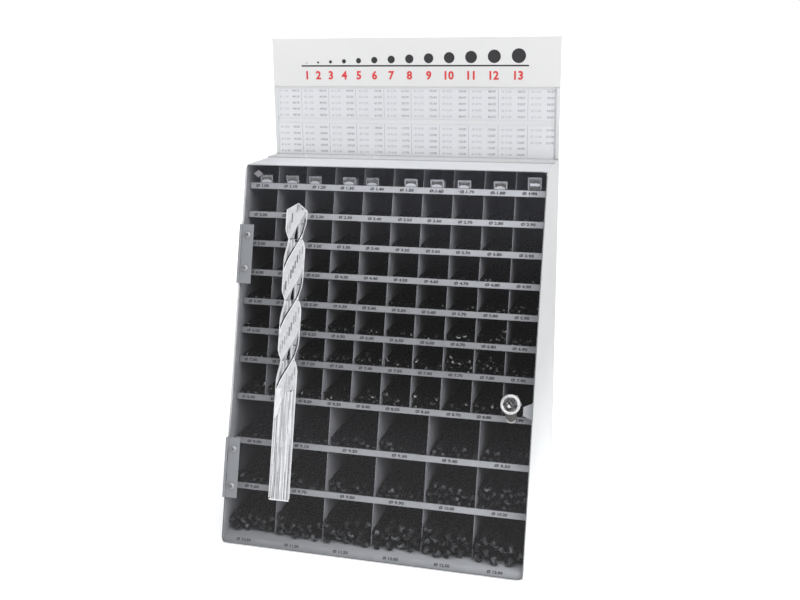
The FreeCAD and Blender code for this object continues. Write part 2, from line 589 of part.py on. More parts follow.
back = "dims.cam_front - dims.cam_thick"
hub = on_door(rod("cam_hub_disc", D("cam_hub"), D("cam_thick")), D("lock_x"), D("lock_s"), back)
arm = on_door(slab("cam_arm", "2 * dims.cam_half", "dims.cam_reach - dims.cam_half", D("cam_thick")),
              "dims.lock_x - dims.cam_half", "dims.lock_s - dims.cam_reach + dims.cam_half", back)
tip = on_door(rod("cam_tip", D("cam_half"), D("cam_thick")), D("lock_x"), "dims.lock_s - dims.cam_reach + dims.cam_half", back)
hole = on_door(slab("cam_square", D("tang_hole"), D("tang_hole"), "dims.cam_thick + 2"),
               "dims.lock_x - dims.tang_hole / 2", "dims.lock_s - dims.tang_hole / 2", back + " - 1")
cam = cut("lock_cam", fuse("cam_blank", [hub, arm, tip]), hole)
nodes.append(cam)

head = on_door(rod("cam_screw_cap", D("cam_screw_head"), D("cam_screw_high")), D("lock_x"), D("lock_s"), back + " - dims.cam_screw_high")
shank = on_door(rod("cam_screw_stem", D("cam_screw_shank"), "dims.cam_screw_deep + 0.5"), D("lock_x"), D("lock_s"), back + " - 0.5")
nodes.append(fuse("cam_screw", [head, shank]))

# strike tab: the cam turns behind it, its flange is welded to the right side
body = new_body("strike_tab")
on_door(body)
sk = sketch(body, "blade", "XY_Plane", "dims.tab_front - dims.tab_thick")
polygon(sk, [(D("tab_tip"), D("tab_tip_low")), (inner, D("tab_low")), (inner, D("tab_high")), (D("tab_tip"), D("tab_tip_high"))])
pad(body, sk, D("tab_thick"))
sk = sketch(body, "flange", "XY_Plane", "-dims.tab_flange_rec")
polygon(sk, [(inner + " - dims.skin", D("tab_low")), (inner, D("tab_low")), (inner, D("tab_high")), (inner + " - dims.skin", D("tab_high"))])
pad(body, sk, "dims.tab_flange_rec + dims.tab_front")

# ---------------------------------------------------------------- small clear boxes of row one
bodies, lids = [], []
for i in range(1, 11):
    tall = D("box_tall_body") if i == 10 else D("box_body_high")
    x0, y0, z0 = "dims.box_x_%d - dims.box_wide / 2" % i, D("box_front_y"), floor_z[1]
    shell = at(slab("mb_shell_%02d" % i, D("box_wide"), D("box_deep"), tall), x0, y0, z0)
    room = at(slab("mb_room_%02d" % i, "dims.box_wide - 2 * dims.box_wall", "dims.box_deep - 2 * dims.box_wall", tall),
              x0 + " + dims.box_wall", y0 + " + dims.box_wall", z0 + " + dims.box_wall")
    bodies.append(cut("mini_body_%02d" % i, shell, room))
    cap = at(slab("mb_cap_%02d" % i, D("box_wide"), D("box_deep"), D("box_lid_high")), x0, y0, z0 + " + " + tall)
    gap = "(dims.box_wall + dims.box_rim_gap)"
    rim = at(slab("mb_rim_%02d" % i, "dims.box_wide - 2 * %s" % gap, "dims.box_deep - 2 * %s" % gap, "dims.box_rim + 0.5"),
             x0 + " + " + gap, y0 + " + " + gap, z0 + " + " + tall + " - dims.box_rim")
    lids.append(fuse("mini_lid_%02d" % i, [cap, rim]))
compound("mini_box_bodies", bodies)
compound("mini_box_lids", lids)

doc.recompute()

# ---------------------------------------------------------------- checks and output
for obj in doc.Objects:
    if any(state in ("Invalid", "Error") for state in obj.State):
        raise RuntimeError("%s: %s" % (obj.Label, obj.State))
for obj in nodes:
    shape = obj.Shape
    if shape.isNull() or not shape.isValid() or not shape.Solids:
        raise RuntimeError("bad shape: " + obj.Label)

os.makedirs("parts", exist_ok=True)
for obj in nodes:
    obj.Shape.exportStep("parts/%s.step" % obj.Label)
    box = obj.Shape.BoundBox
    print("%-24s %3d solids %12.1f mm3  x %8.2f %8.2f  y %8.2f %8.2f  z %8.2f %8.2f" % (
        obj.Label, len(obj.Shape.Solids), obj.Shape.Volume, box.XMin, box.XMax, box.YMin, box.YMax, box.ZMin, box.ZMax))
print(len(nodes), "nodes")
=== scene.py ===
import bpy, bmesh, math, random
import numpy as np
from mathutils import Vector, Matrix


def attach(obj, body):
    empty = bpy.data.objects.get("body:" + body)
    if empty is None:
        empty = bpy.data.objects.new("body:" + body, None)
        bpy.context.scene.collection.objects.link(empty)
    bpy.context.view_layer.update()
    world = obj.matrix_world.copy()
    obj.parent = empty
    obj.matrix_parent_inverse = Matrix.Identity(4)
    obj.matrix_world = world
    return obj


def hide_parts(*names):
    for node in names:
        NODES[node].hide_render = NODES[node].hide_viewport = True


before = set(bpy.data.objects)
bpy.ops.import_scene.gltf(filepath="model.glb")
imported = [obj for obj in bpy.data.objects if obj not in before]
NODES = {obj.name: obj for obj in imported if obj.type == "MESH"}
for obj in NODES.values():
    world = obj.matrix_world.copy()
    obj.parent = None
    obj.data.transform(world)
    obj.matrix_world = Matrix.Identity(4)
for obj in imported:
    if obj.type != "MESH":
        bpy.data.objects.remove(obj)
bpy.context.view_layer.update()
SCENE = bpy.context.scene

# ------------------------------------------------------------------ frames
LEAN = math.radians(16.4)
SA, CA, TA = math.sin(LEAN), math.cos(LEAN), math.tan(LEAN)
FOOT_Y, FOOT_Z = -127.6, 2.0
# x, s (up the door), n (out of the door's outer face), in mm, to the row frame in metres
DOOR = Matrix(((0.001, 0, 0, 0), (0, 0.001 * SA, -0.001 * CA, FOOT_Y * 0.001),
               (0, 0.001 * CA, 0.001 * SA, FOOT_Z * 0.001), (0, 0, 0, 1)))
MM = Matrix.Diagonal((0.001, 0.001, 0.001, 1))
# upright faces of the header: x, z, out towards -y
UPRIGHT = Matrix(((0.001, 0, 0, 0), (0, 0, -0.001, 0), (0, 0.001, 0, 0), (0, 0, 0, 1)))


def y_of(s, rec):
    return FOOT_Y + s * SA + rec * CA


def z_of(s, rec):
    return FOOT_Z + s * CA - rec * SA


def y_at(z, rec):
    return FOOT_Y + (z - FOOT_Z) * TA + rec / CA


LIP_S = [469.6, 431.1, 392.5, 353.7, 315.1, 276.3, 237.4, 188.0, 129.5, 69.8]
LOW = [z_of(s, 18.0) for s in LIP_S]
FLOOR = [z + 1.0 for z in LOW] + [9.15]
UNDER = [479.5] + LOW
COLS = [10] * 8 + [6] * 3


def cell_x(row, col):
    cols = COLS[row - 1]
    pitch = 397.6 / cols
    a = -198.8 + pitch * col + (0.4 if col else 0.0)
    b = -198.8 + pitch * (col + 1) - (0.4 if col < cols - 1 else 0.0)
    return a, b


# ------------------------------------------------------------------ materials
def new_mat(name):
    m = bpy.data.materials.new(name)
    m.use_nodes = True
    nt = m.node_tree
    b = nt.nodes["Principled BSDF"]
    return m, nt, b


def obj_coord(nt):
    return nt.nodes.new("ShaderNodeTexCoord").outputs["Object"]


def noise(nt, coord, scale, detail=2.0, rough=0.5, stretch=None):
    src = coord
    if stretch:
        mp = nt.nodes.new("ShaderNodeMapping")
        mp.inputs["Scale"].default_value = stretch
        nt.links.new(coord, mp.inputs["Vector"])
        src = mp.outputs["Vector"]
    n = nt.nodes.new("ShaderNodeTexNoise")
    n.inputs["Scale"].default_value = scale
    n.inputs["Detail"].default_value = detail
    n.inputs["Roughness"].default_value = rough
    nt.links.new(src, n.inputs["Vector"])
    return n.outputs["Fac"]


def ramp(nt, fac, stops):
    r = nt.nodes.new("ShaderNodeValToRGB")
    r.color_ramp.elements[0].position = stops[0][0]
    r.color_ramp.elements[0].color = tuple(stops[0][1]) + (1,)
    r.color_ramp.elements[1].position = stops[-1][0]
    r.color_ramp.elements[1].color = tuple(stops[-1][1]) + (1,)
    for p, c in stops[1:-1]:
        e = r.color_ramp.elements.new(p)
        e.color = tuple(c) + (1,)
    nt.links.new(fac, r.inputs["Fac"])
    return r.outputs["Color"]


def remap(nt, fac, lo, hi, a=0.0, b=1.0):
    m = nt.nodes.new("ShaderNodeMapRange")
    m.inputs["From Min"].default_value = a
    m.inputs["From Max"].default_value = b
    m.inputs["To Min"].default_value = lo
    m.inputs["To Max"].default_value = hi
    nt.links.new(fac, m.inputs["Value"])
    return m.outputs["Result"]


def bump(nt, bsdf, height, strength, distance):
    b = nt.nodes.new("ShaderNodeBump")
    b.inputs["Strength"].default_value = strength
    b.inputs["Distance"].default_value = distance
    nt.links.new(height, b.inputs["Height"])
    nt.links.new(b.outputs["Normal"], bsdf.inputs["Normal"])


def calc(nt, op, a, b=None, c=None):
    """one maths node; each input is a socket or a number"""
    m = nt.nodes.new("ShaderNodeMath")
    m.operation = op
    for i, v in enumerate((a, b, c)):
        if v is None:
            continue
        if isinstance(v, (int, float)):
            m.inputs[i].default_value = v
        else:
            nt.links.new(v, m.inputs[i])
    return m.outputs[0]


def xyz(nt, co):
    sep = nt.nodes.new("ShaderNodeSeparateXYZ")
    nt.links.new(co, sep.inputs[0])
    return sep.outputs["X"], sep.outputs["Y"], sep.outputs["Z"]


def up_door(nt, y, z):
    """distance up the door, in metres, from where its outer face meets the foot line"""
    return calc(nt, "MULTIPLY_ADD", calc(nt, "ADD", y, -FOOT_Y * 0.001), SA, calc(nt, "MULTIPLY", calc(nt, "ADD", z, -FOOT_Z * 0.001), CA))


def blend_color(nt, fac, c0, c1):
    mix = nt.nodes.new("ShaderNodeMix")
    mix.data_type = "RGBA"
    nt.links.new(fac, mix.inputs["Factor"])
    for sock, c in ((mix.inputs[6], c0), (mix.inputs[7], c1)):
        if isinstance(c, tuple):
            sock.default_value = c + (1,)
        else:
            nt.links.new(c, sock)
    return mix.outputs[2]


def shade(c, k):
    return tuple(max(0.0, min(1.0, v * k)) for v in c)


def paint(name, color, rough=0.42, grain=900.0, depth=0.00004, vary=0.05, strength=0.35):
    """Powder coat: fine orange peel, slow colour drift, gloss that varies a little."""
    m, nt, b = new_mat(name)
    co = obj_coord(nt)
    slow = noise(nt, co, 9.0, 3.0)
    nt.links.new(ramp(nt, slow, [(0.3, shade(color, 1 - vary)), (0.7, shade(color, 1 + vary * 0.4))]), b.inputs["Base Color"])
    fine = noise(nt, co, grain, 2.0, 0.55)
    nt.links.new(remap(nt, noise(nt, co, 140.0, 2.0), rough - 0.05, rough + 0.06), b.inputs["Roughness"])
    bump(nt, b, fine, strength, depth)
    return m


def metal(name, color, rough=0.25, brush=None, vary=0.06, depth=0.00001):
    m, nt, b = new_mat(name)
    co = obj_coord(nt)
    b.inputs["Metallic"].default_value = 1.0
    slow = noise(nt, co, 60.0, 3.0)
    nt.links.new(ramp(nt, slow, [(0.3, shade(color, 1 - vary)), (0.7, shade(color, 1 + vary * 0.5))]), b.inputs["Base Color"])
    fine = noise(nt, co, 1500.0 if not brush else 600.0, 2.0, 0.6, brush)
    nt.links.new(remap(nt, fine, rough - 0.06, rough + 0.08), b.inputs["Roughness"])
    bump(nt, b, fine, 0.25, depth)
    return m


M = {}
M["case"] = paint("case_powder_coat", (0.585, 0.595, 0.615), 0.45)
M["dark"] = paint("inner_dark_paint", (0.10, 0.10, 0.108), 0.6, vary=0.14)
# painted light: the dividers take a lighter coat than the shelves and other inner coats, for the light on their faces
M["fin"] = paint("divider_paint_painted_light", (0.205, 0.205, 0.22), 0.6, vary=0.12)


def board_material():
    """Header board: light coat, a foot on the roof given a darker coat as painted shade, and a dark line painted as
    shadow where the sheet is folded.
    """
    m, nt, b = new_mat("header_powder_coat")
    co = obj_coord(nt)
    x, y, z = xyz(nt, co)
    slow = noise(nt, co, 9.0, 3.0)
    face = ramp(nt, slow, [(0.3, (0.665, 0.67, 0.675)), (0.7, (0.69, 0.695, 0.70))])
    # painted shade: the foot on the roof takes a darker coat than the upright of the same sheet
    foot = ramp(nt, slow, [(0.3, (0.47, 0.475, 0.48)), (0.7, (0.50, 0.505, 0.51))])
    upright = remap(nt, y, 0.0, 1.0, 0.1200, 0.1206)
    # painted shadow: a dark line where the sheet is folded
    fold_painted_shadow = calc(nt, "MULTIPLY", remap(nt, y, 0.0, 1.0, 0.1165, 0.1180), remap(nt, y, 1.0, 0.0, 0.1212, 0.1217))
    both = blend_color(nt, upright, foot, face)
    nt.links.new(blend_color(nt, fold_painted_shadow, both, (0.30, 0.30, 0.305)), b.inputs["Base Color"])
    nt.links.new(remap(nt, noise(nt, co, 140.0, 2.0), 0.40, 0.51), b.inputs["Roughness"])
    bump(nt, b, noise(nt, co, 900.0, 2.0, 0.55), 0.35, 0.00004)
    return m


M["board"] = board_material()
M["sign"] = paint("sign_satin_paint", (0.665, 0.665, 0.66), 0.5, grain=1400.0, depth=0.00002, vary=0.02)
M["rail"] = paint("rail_grey_plastic", (0.63, 0.64, 0.645), 0.5, vary=0.03)
M["line"] = paint("card_rule_grey", (0.31, 0.32, 0.335), 0.6, grain=3000.0, depth=0.000004, vary=0.1)
M["hinge"] = paint("hinge_grey_coat", (0.204, 0.212, 0.224), 0.45, grain=1300.0, vary=0.08)
M["screw"] = metal("screw_zinc", (0.29, 0.29, 0.30), 0.46)
M["screw"].node_tree.nodes["Principled BSDF"].inputs["Metallic"].default_value = 0.45


def strip_film():
    """Label film on the lips, with painted shade towards the middle rows and on the left, and painted light on the top
    rows and on the right.
    """
    m, nt, b = new_mat("label_strip_film")
    co = obj_coord(nt)
    x, y, z = xyz(nt, co)
    s_up = up_door(nt, y, z)
    # painted light and shade by row: darkest round the middle rows, brightest on the top rows
    rows = ramp(nt, calc(nt, "MULTIPLY", s_up, 2.0), [(at * 2.0, (g, g, g)) for at, g in ((0.03, 0.86), (0.13, 0.88), (0.19, 0.78), (0.24, 0.62), (0.28, 0.66), (0.318, 0.74), (0.357, 0.88), (0.396, 0.97), (0.435, 1.12), (0.474, 1.36))])
    # painted light and shade across: darker on the left, lighter on the right
    cols = ramp(nt, remap(nt, x, 0.0, 1.0, -0.2, 0.2), [(0.0, (0.66, 0.66, 0.66)), (0.2, (0.80, 0.80, 0.80)), (0.45, (0.96, 0.96, 0.96)), (1.0, (1.14, 1.14, 1.14))])
    slow = ramp(nt, noise(nt, co, 60.0, 3.0), [(0.3, (0.345, 0.35, 0.365)), (0.7, (0.385, 0.39, 0.405))])
    one = nt.nodes.new("ShaderNodeVectorMath")
    one.operation = "MULTIPLY"
    nt.links.new(slow, one.inputs[0])
    nt.links.new(rows, one.inputs[1])
    two = nt.nodes.new("ShaderNodeVectorMath")
    two.operation = "MULTIPLY"
    nt.links.new(one.outputs[0], two.inputs[0])
    nt.links.new(cols, two.inputs[1])
    nt.links.new(two.outputs[0], b.inputs["Base Color"])
    nt.links.new(remap(nt, noise(nt, co, 140.0, 2.0), 0.45, 0.56), b.inputs["Roughness"])
    bump(nt, b, noise(nt, co, 2000.0, 2.0), 0.3, 0.00001)
    return m


M["strip"] = strip_film()
M["sticker"] = paint("sticker_silver_film", (0.18, 0.18, 0.184), 0.45, grain=2500.0, depth=0.00001, vary=0.08)


def card_material():
    """Printed card, with painted light making it a little paler towards its foot."""
    m, nt, b = new_mat("printed_card")
    co = obj_coord(nt)
    x, y, z = xyz(nt, co)
    # painted light: the card is paler the lower it sits
    tone = ramp(nt, remap(nt, z, 0.0, 1.0, 0.486, 0.572), [(0.0, (0.82, 0.83, 0.85)), (0.25, (0.755, 0.765, 0.785)), (0.6, (0.70, 0.71, 0.73)), (1.0, (0.68, 0.69, 0.71))])
    mottle = ramp(nt, noise(nt, co, 60.0, 3.0), [(0.3, (0.985, 0.985, 0.985)), (0.7, (1.0, 1.0, 1.0))])
    both = nt.nodes.new("ShaderNodeVectorMath")
    both.operation = "MULTIPLY"
    nt.links.new(tone, both.inputs[0])
    nt.links.new(mottle, both.inputs[1])
    nt.links.new(both.outputs[0], b.inputs["Base Color"])
    nt.links.new(remap(nt, noise(nt, co, 140.0, 2.0), 0.65, 0.76), b.inputs["Roughness"])
    bump(nt, b, noise(nt, co, 1800.0, 2.0), 0.3, 0.00001)
    return m


M["card"] = card_material()
M["ink"] = paint("ink_dark", (0.02, 0.02, 0.022), 0.6, grain=3000.0, depth=0.000004, vary=0.2)
M["ink_grey"] = paint("ink_grey", (0.25, 0.26, 0.28), 0.6, grain=3000.0, depth=0.000004, vary=0.2)
M["ink_pale"] = paint("ink_pale_grey", (0.42, 0.43, 0.45), 0.6, grain=3000.0, depth=0.000004, vary=0.2)
M["ink_red"] = paint("ink_red", (0.62, 0.035, 0.035), 0.5, grain=3000.0, depth=0.000004, vary=0.1)


def lock_ring():
    """Satin nickel ring, with painted shade on the sunk face inside it."""
    m, nt, b = new_mat("lock_satin_nickel")
    co = obj_coord(nt)
    x, y, z = xyz(nt, co)
    s_up = up_door(nt, y, z)
    dx, ds = calc(nt, "SUBTRACT", x, 0.1723), calc(nt, "SUBTRACT", s_up, 0.2126)
    r = calc(nt, "SQRT", calc(nt, "ADD", calc(nt, "MULTIPLY", dx, dx), calc(nt, "MULTIPLY", ds, ds)))
    out = remap(nt, r, 0.0, 1.0, 0.0088, 0.0092)
    slow = noise(nt, co, 300.0, 3.0)
    bright = ramp(nt, slow, [(0.34, (0.46, 0.46, 0.46)), (0.48, (0.66, 0.66, 0.66)), (0.68, (0.76, 0.76, 0.765))])
    # painted shade: the sunk face inside the ring is dark
    sunk = ramp(nt, noise(nt, co, 480.0, 2.0, 0.6), [(0.40, (0.02, 0.02, 0.021)), (0.50, (0.08, 0.08, 0.082)), (0.64, (0.30, 0.30, 0.30))])
    nt.links.new(blend_color(nt, out, sunk, bright), b.inputs["Base Color"])
    b.inputs["Metallic"].default_value = 0.30
    nt.links.new(remap(nt, noise(nt, co, 1500.0, 2.0), 0.22, 0.34), b.inputs["Roughness"])
    return m


M["chrome"] = lock_ring()
M["recess"] = metal("lock_recess_dark", (0.16, 0.16, 0.17), 0.35)
M["tab"] = paint("strike_tab_coat", (0.44, 0.45, 0.47), 0.45)


def plug_face():
    """Worn nickel plug face: dull, with bright worn patches, a painted highlight low on the left and a dark rim."""
    m, nt, b = new_mat("lock_plug_nickel")
    co = obj_coord(nt)
    x, y, z = xyz(nt, co)
    s_up = up_door(nt, y, z)
    dx, ds = calc(nt, "SUBTRACT", x, 0.1723), calc(nt, "SUBTRACT", s_up, 0.2126)
    r = calc(nt, "SQRT", calc(nt, "ADD", calc(nt, "MULTIPLY", dx, dx), calc(nt, "MULTIPLY", ds, ds)))
    worn = ramp(nt, noise(nt, co, 420.0, 2.0, 0.6), [(0.42, (0.05, 0.05, 0.052)), (0.52, (0.20, 0.20, 0.20)), (0.62, (0.42, 0.42, 0.41))])
    # painted highlight: a bright spot low on the left of the face
    px, ps = calc(nt, "SUBTRACT", dx, -0.0012), calc(nt, "SUBTRACT", ds, -0.0022)
    pr2 = calc(nt, "SQRT", calc(nt, "ADD", calc(nt, "MULTIPLY", px, px), calc(nt, "MULTIPLY", ps, ps)))
    spot = remap(nt, pr2, 1.0, 0.0, 0.0014, 0.0024)
    both = blend_color(nt, spot, worn, (0.92, 0.92, 0.90))
    nt.links.new(blend_color(nt, remap(nt, r, 0.0, 0.85, 0.0046, 0.0056), both, (0.04, 0.04, 0.042)), b.inputs["Base Color"])
    b.inputs["Metallic"].default_value = 0.45
    nt.links.new(remap(nt, noise(nt, co, 1500.0, 2.0), 0.25, 0.38), b.inputs["Roughness"])
    return m


M["brass"] = plug_face()
M["nut"] = metal("lock_nut_nickel", (0.56, 0.56, 0.555), 0.30, vary=0.10)
M["nut"].node_tree.nodes["Principled BSDF"].inputs["Metallic"].default_value = 0.25


def cam_steel():
    """Dull zinc on the cam, with a painted highlight along its rounded lower end."""
    m, nt, b = new_mat("lock_cam_zinc")
    co = obj_coord(nt)
    x, y, z = xyz(nt, co)
    s_up = up_door(nt, y, z)
    dx, ds = calc(nt, "SUBTRACT", x, 0.1723), calc(nt, "SUBTRACT", s_up, 0.2126 - 0.0175)
    r = calc(nt, "SQRT", calc(nt, "ADD", calc(nt, "MULTIPLY", dx, dx), calc(nt, "MULTIPLY", ds, ds)))
    # painted highlight: a bright crescent along the rounded lower end
    rim = calc(nt, "MULTIPLY", remap(nt, r, 0.0, 1.0, 0.0048, 0.0056), remap(nt, ds, 1.0, 0.0, -0.0035, -0.0015))
    dull = ramp(nt, noise(nt, co, 180.0, 3.0), [(0.3, (0.125, 0.12, 0.108)), (0.7, (0.19, 0.182, 0.165))])
    nt.links.new(blend_color(nt, rim, dull, (0.85, 0.85, 0.83)), b.inputs["Base Color"])
    b.inputs["Metallic"].default_value = 0.35
    nt.links.new(remap(nt, noise(nt, co, 900.0, 2.0), 0.32, 0.46), b.inputs["Roughness"])
    return m


M["cam"] = cam_steel()
M["zinc"] = metal("zinc_plated_steel", (0.40, 0.395, 0.385), 0.34, brush=(1.0, 1.0, 0.08))


def ink(name, color, cover, vary=0.05):
    """Screen ink: covers only partly, and not quite evenly."""
    m, nt, b = new_mat(name)
    co = obj_coord(nt)
    slow = noise(nt, co, 40.0, 3.0)
    nt.links.new(ramp(nt, slow, [(0.3, shade(color, 1 - vary)), (0.7, shade(color, 1 + vary * 0.4))]), b.inputs["Base Color"])
    nt.links.new(remap(nt, noise(nt, co, 160.0, 2.0), cover - 0.05, min(1.0, cover + 0.05), 0.3, 0.7), b.inputs["Alpha"])
    b.inputs["Roughness"].default_value = 0.6
    return m


M["ink_w"] = ink("print_white", (0.555, 0.56, 0.575), 0.90)
M["ink_b"] = ink("print_bright", (0.70, 0.705, 0.72), 0.94)
M["ink_m"] = ink("print_mid_grey", (0.36, 0.365, 0.38), 0.80)
M["ink_g"] = ink("print_thin_grey", (0.50, 0.505, 0.52), 0.50)
M["ink_s"] = ink("print_stave_grey", (0.50, 0.505, 0.525), 0.80)
M["ink_d"] = ink("print_dark_grey", (0.16, 0.16, 0.17), 0.80)
# Rims of the small boxes: moulded edges made milky as a painted highlight; the right-hand copy is lighter, as painted
# light
M["rim"] = ink("mini_box_rim", (0.44, 0.45, 0.48), 0.42)
M["rim_right"] = ink("mini_box_rim_right_painted_light", (0.62, 0.63, 0.68), 0.52)
# Paper slips: the right-hand copy is lighter, as painted light
M["paper"] = paint("box_paper_slip", (0.66, 0.66, 0.70), 0.75, grain=1600.0, depth=0.00002, vary=0.03)
M["paper_right"] = paint("box_paper_slip_right_painted_light", (0.80, 0.80, 0.84), 0.75, grain=1600.0, depth=0.00002, vary=0.03)
# painted light: both slips glow faintly, the right-hand one more
for key, glow in (("paper", 0.015), ("paper_right", 0.06)):
    bs = M[key].node_tree.nodes["Principled BSDF"]
    bs.inputs["Emission Color"].default_value = (0.97, 0.97, 1.0, 1)
    bs.inputs["Emission Strength"].default_value = glow


def black_oxide():
    m, nt, b = new_mat("drill_black_oxide")
    co = obj_coord(nt)
    b.inputs["Metallic"].default_value = 0.12
    b.inputs["Specular IOR Level"].default_value = 0.06
    cloud = noise(nt, co, 220.0, 3.0, 0.6)
    nt.links.new(ramp(nt, cloud, [(0.3, (0.003, 0.003, 0.0033)), (0.62, (0.006, 0.006, 0.0063)), (0.85, (0.014, 0.013, 0.012))]), b.inputs["Base Color"])
    fine = noise(nt, co, 1400.0, 2.0, 0.6, (1.0, 0.15, 1.0))
    nt.links.new(remap(nt, fine, 0.50, 0.66), b.inputs["Roughness"])
    bump(nt, b, fine, 0.3, 0.00002)
    # further in, painted shade: the drills take a darker colour without gloss
    back = nt.nodes.new("ShaderNodeBsdfPrincipled")
    back.inputs["Roughness"].default_value = 0.9
    back.inputs["Specular IOR Level"].default_value = 0.0
    nt.links.new(ramp(nt, cloud, [(0.3, (0.0030, 0.0030, 0.0033)), (0.85, (0.0050, 0.0050, 0.0050))]), back.inputs["Base Color"])
    x, y, z = xyz(nt, co)
    behind = calc(nt, "ADD", y, calc(nt, "MULTIPLY", z, -TA))
    base = (FOOT_Y - FOOT_Z * TA) * 0.001
    mix = nt.nodes.new("ShaderNodeMixShader")
    nt.links.new(remap(nt, behind, 0.0, 0.92, base + 0.030 / CA, base + 0.052 / CA), mix.inputs["Fac"])
    nt.links.new(b.outputs[0], mix.inputs[1])
    nt.links.new(back.outputs[0], mix.inputs[2])
    nt.links.new(mix.outputs[0], nt.nodes["Material Output"].inputs["Surface"])
    return m


M["oxide"] = black_oxide()


def ground(name, scale, bright, rough, stops, metallic):
    """Ground points: most are dulled by oxide, and a few patches are painted bright as glints."""
    m, nt, b = new_mat(name)
    co = obj_coord(nt)
    b.inputs["Metallic"].default_value = metallic
    patch = noise(nt, co, scale, 1.0, 0.5)
    # painted glints: a few patches of the colour are much brighter
    nt.links.new(ramp(nt, patch, [(at, shade(bright, k)) for at, k in stops]), b.inputs["Base Color"])
    fine = noise(nt, co, 1500.0, 2.0, 0.6)
    nt.links.new(remap(nt, fine, rough - 0.05, rough + 0.08), b.inputs["Roughness"])
    bump(nt, b, fine, 0.25, 0.00001)
    return m


M["ground"] = ground("drill_ground_small", 170.0, (0.52, 0.51, 0.50), 0.30, [(0.44, 0.03), (0.59, 0.16), (0.72, 1.0)], 1.0)
M["ground_big"] = ground("drill_ground_large", 95.0, (0.185, 0.19, 0.20), 0.44, [(0.42, 0.06), (0.54, 0.24), (0.63, 0.42), (0.77, 1.0)], 0.65)
M["bright"] = metal("drill_bright_steel", (0.20, 0.20, 0.205), 0.34)


def clear(name, tint, lamp, rough_lo, rough_hi, ior):
    """Clear plastic: bends and mirrors light, and lets lamp and diffuse rays straight through."""
    m, nt, b = new_mat(name)
    co = obj_coord(nt)
    b.inputs["Transmission Weight"].default_value = 1.0
    b.inputs["IOR"].default_value = ior
    hand = noise(nt, co, 14.0, 4.0, 0.6)
    nt.links.new(ramp(nt, hand, [(0.35, shade(tint, 0.985)), (0.7, tint)]), b.inputs["Base Color"])
    nt.links.new(remap(nt, noise(nt, co, 35.0, 4.0, 0.65), rough_lo, rough_hi, 0.35, 0.75), b.inputs["Roughness"])
    out = nt.nodes["Material Output"]
    lp = nt.nodes.new("ShaderNodeLightPath")
    mx = nt.nodes.new("ShaderNodeMath")
    mx.operation = "MAXIMUM"
    nt.links.new(lp.outputs["Is Shadow Ray"], mx.inputs[0])
    nt.links.new(lp.outputs["Is Diffuse Ray"], mx.inputs[1])
    tr = nt.nodes.new("ShaderNodeBsdfTransparent")
    tr.inputs["Color"].default_value = tuple(lamp) + (1,)
    mix = nt.nodes.new("ShaderNodeMixShader")
    nt.links.new(mx.outputs[0], mix.inputs["Fac"])
    nt.links.new(b.outputs[0], mix.inputs[1])
    nt.links.new(tr.outputs[0], mix.inputs[2])
    nt.links.new(mix.outputs[0], out.inputs["Surface"])
    return m


M["door"] = clear("door_acrylic", (0.97, 0.975, 0.98), (0.95, 0.955, 0.96), 0.0, 0.03, 1.49)


def saw_cut_edge(m):
    """A dull band along the door's outline, over the sawn edge, painted dark as shade; the rest of the faces stay
    clear.
    """
    nt = m.node_tree
    co = obj_coord(nt)
    x, y, z = xyz(nt, co)
    s_up = up_door(nt, y, z)
    dx = calc(nt, "SUBTRACT", calc(nt, "ABSOLUTE", calc(nt, "SUBTRACT", x, 0.0002)), 0.1998 - 0.007)
    ds = calc(nt, "SUBTRACT", calc(nt, "ABSOLUTE", calc(nt, "SUBTRACT", s_up, 0.2495)), 0.2495 - 0.007)
    px, ps = calc(nt, "MAXIMUM", dx, 0.0), calc(nt, "MAXIMUM", ds, 0.0)
    far = calc(nt, "SQRT", calc(nt, "ADD", calc(nt, "MULTIPLY", px, px), calc(nt, "MULTIPLY", ps, ps)))
    near = calc(nt, "MINIMUM", calc(nt, "MAXIMUM", dx, ds), 0.0)
    edge = calc(nt, "GREATER_THAN", calc(nt, "ADD", far, near), 0.007 - 0.0006)
    # painted shade: the band along the outline takes a dark colour
    dull = nt.nodes.new("ShaderNodeBsdfPrincipled")
    nt.links.new(ramp(nt, noise(nt, co, 300.0, 2.0), [(0.3, (0.09, 0.095, 0.10)), (0.7, (0.14, 0.145, 0.15))]), dull.inputs["Base Color"])
    dull.inputs["Roughness"].default_value = 0.4
    out = nt.nodes["Material Output"]
    old = out.inputs["Surface"].links[0].from_socket
    mix = nt.nodes.new("ShaderNodeMixShader")
    nt.links.new(calc(nt, "MULTIPLY", edge, 0.8), mix.inputs["Fac"])
    nt.links.new(old, mix.inputs[1])
    nt.links.new(dull.outputs[0], mix.inputs[2])
    nt.links.new(mix.outputs[0], out.inputs["Surface"])


saw_cut_edge(M["door"])
M["cover"] = clear("card_cover_acrylic", (0.985, 0.985, 0.99), (0.97, 0.97, 0.97), 0.05, 0.14, 1.49)
M["mini"] = clear("mini_box_polystyrene", (0.97, 0.97, 0.975), (0.93, 0.93, 0.94), 0.0, 0.03, 1.55)


def thin_walls(m):
    """Behind its front the box is thin film: most light goes straight through."""
    nt = m.node_tree
    x, y, z = xyz(nt, obj_coord(nt))
    out = nt.nodes["Material Output"]
    old = out.inputs["Surface"].links[0].from_socket
    tr = nt.nodes.new("ShaderNodeBsdfTransparent")
    tr.inputs["Color"].default_value = (0.975, 0.975, 0.98, 1)
    mix = nt.nodes.new("ShaderNodeMixShader")
    nt.links.new(remap(nt, y, 0.0, 0.86, 0.0272, 0.0290), mix.inputs["Fac"])
    nt.links.new(old, mix.inputs[1])
    nt.links.new(tr.outputs[0], mix.inputs[2])
    nt.links.new(mix.outputs[0], out.inputs["Surface"])


thin_walls(M["mini"])


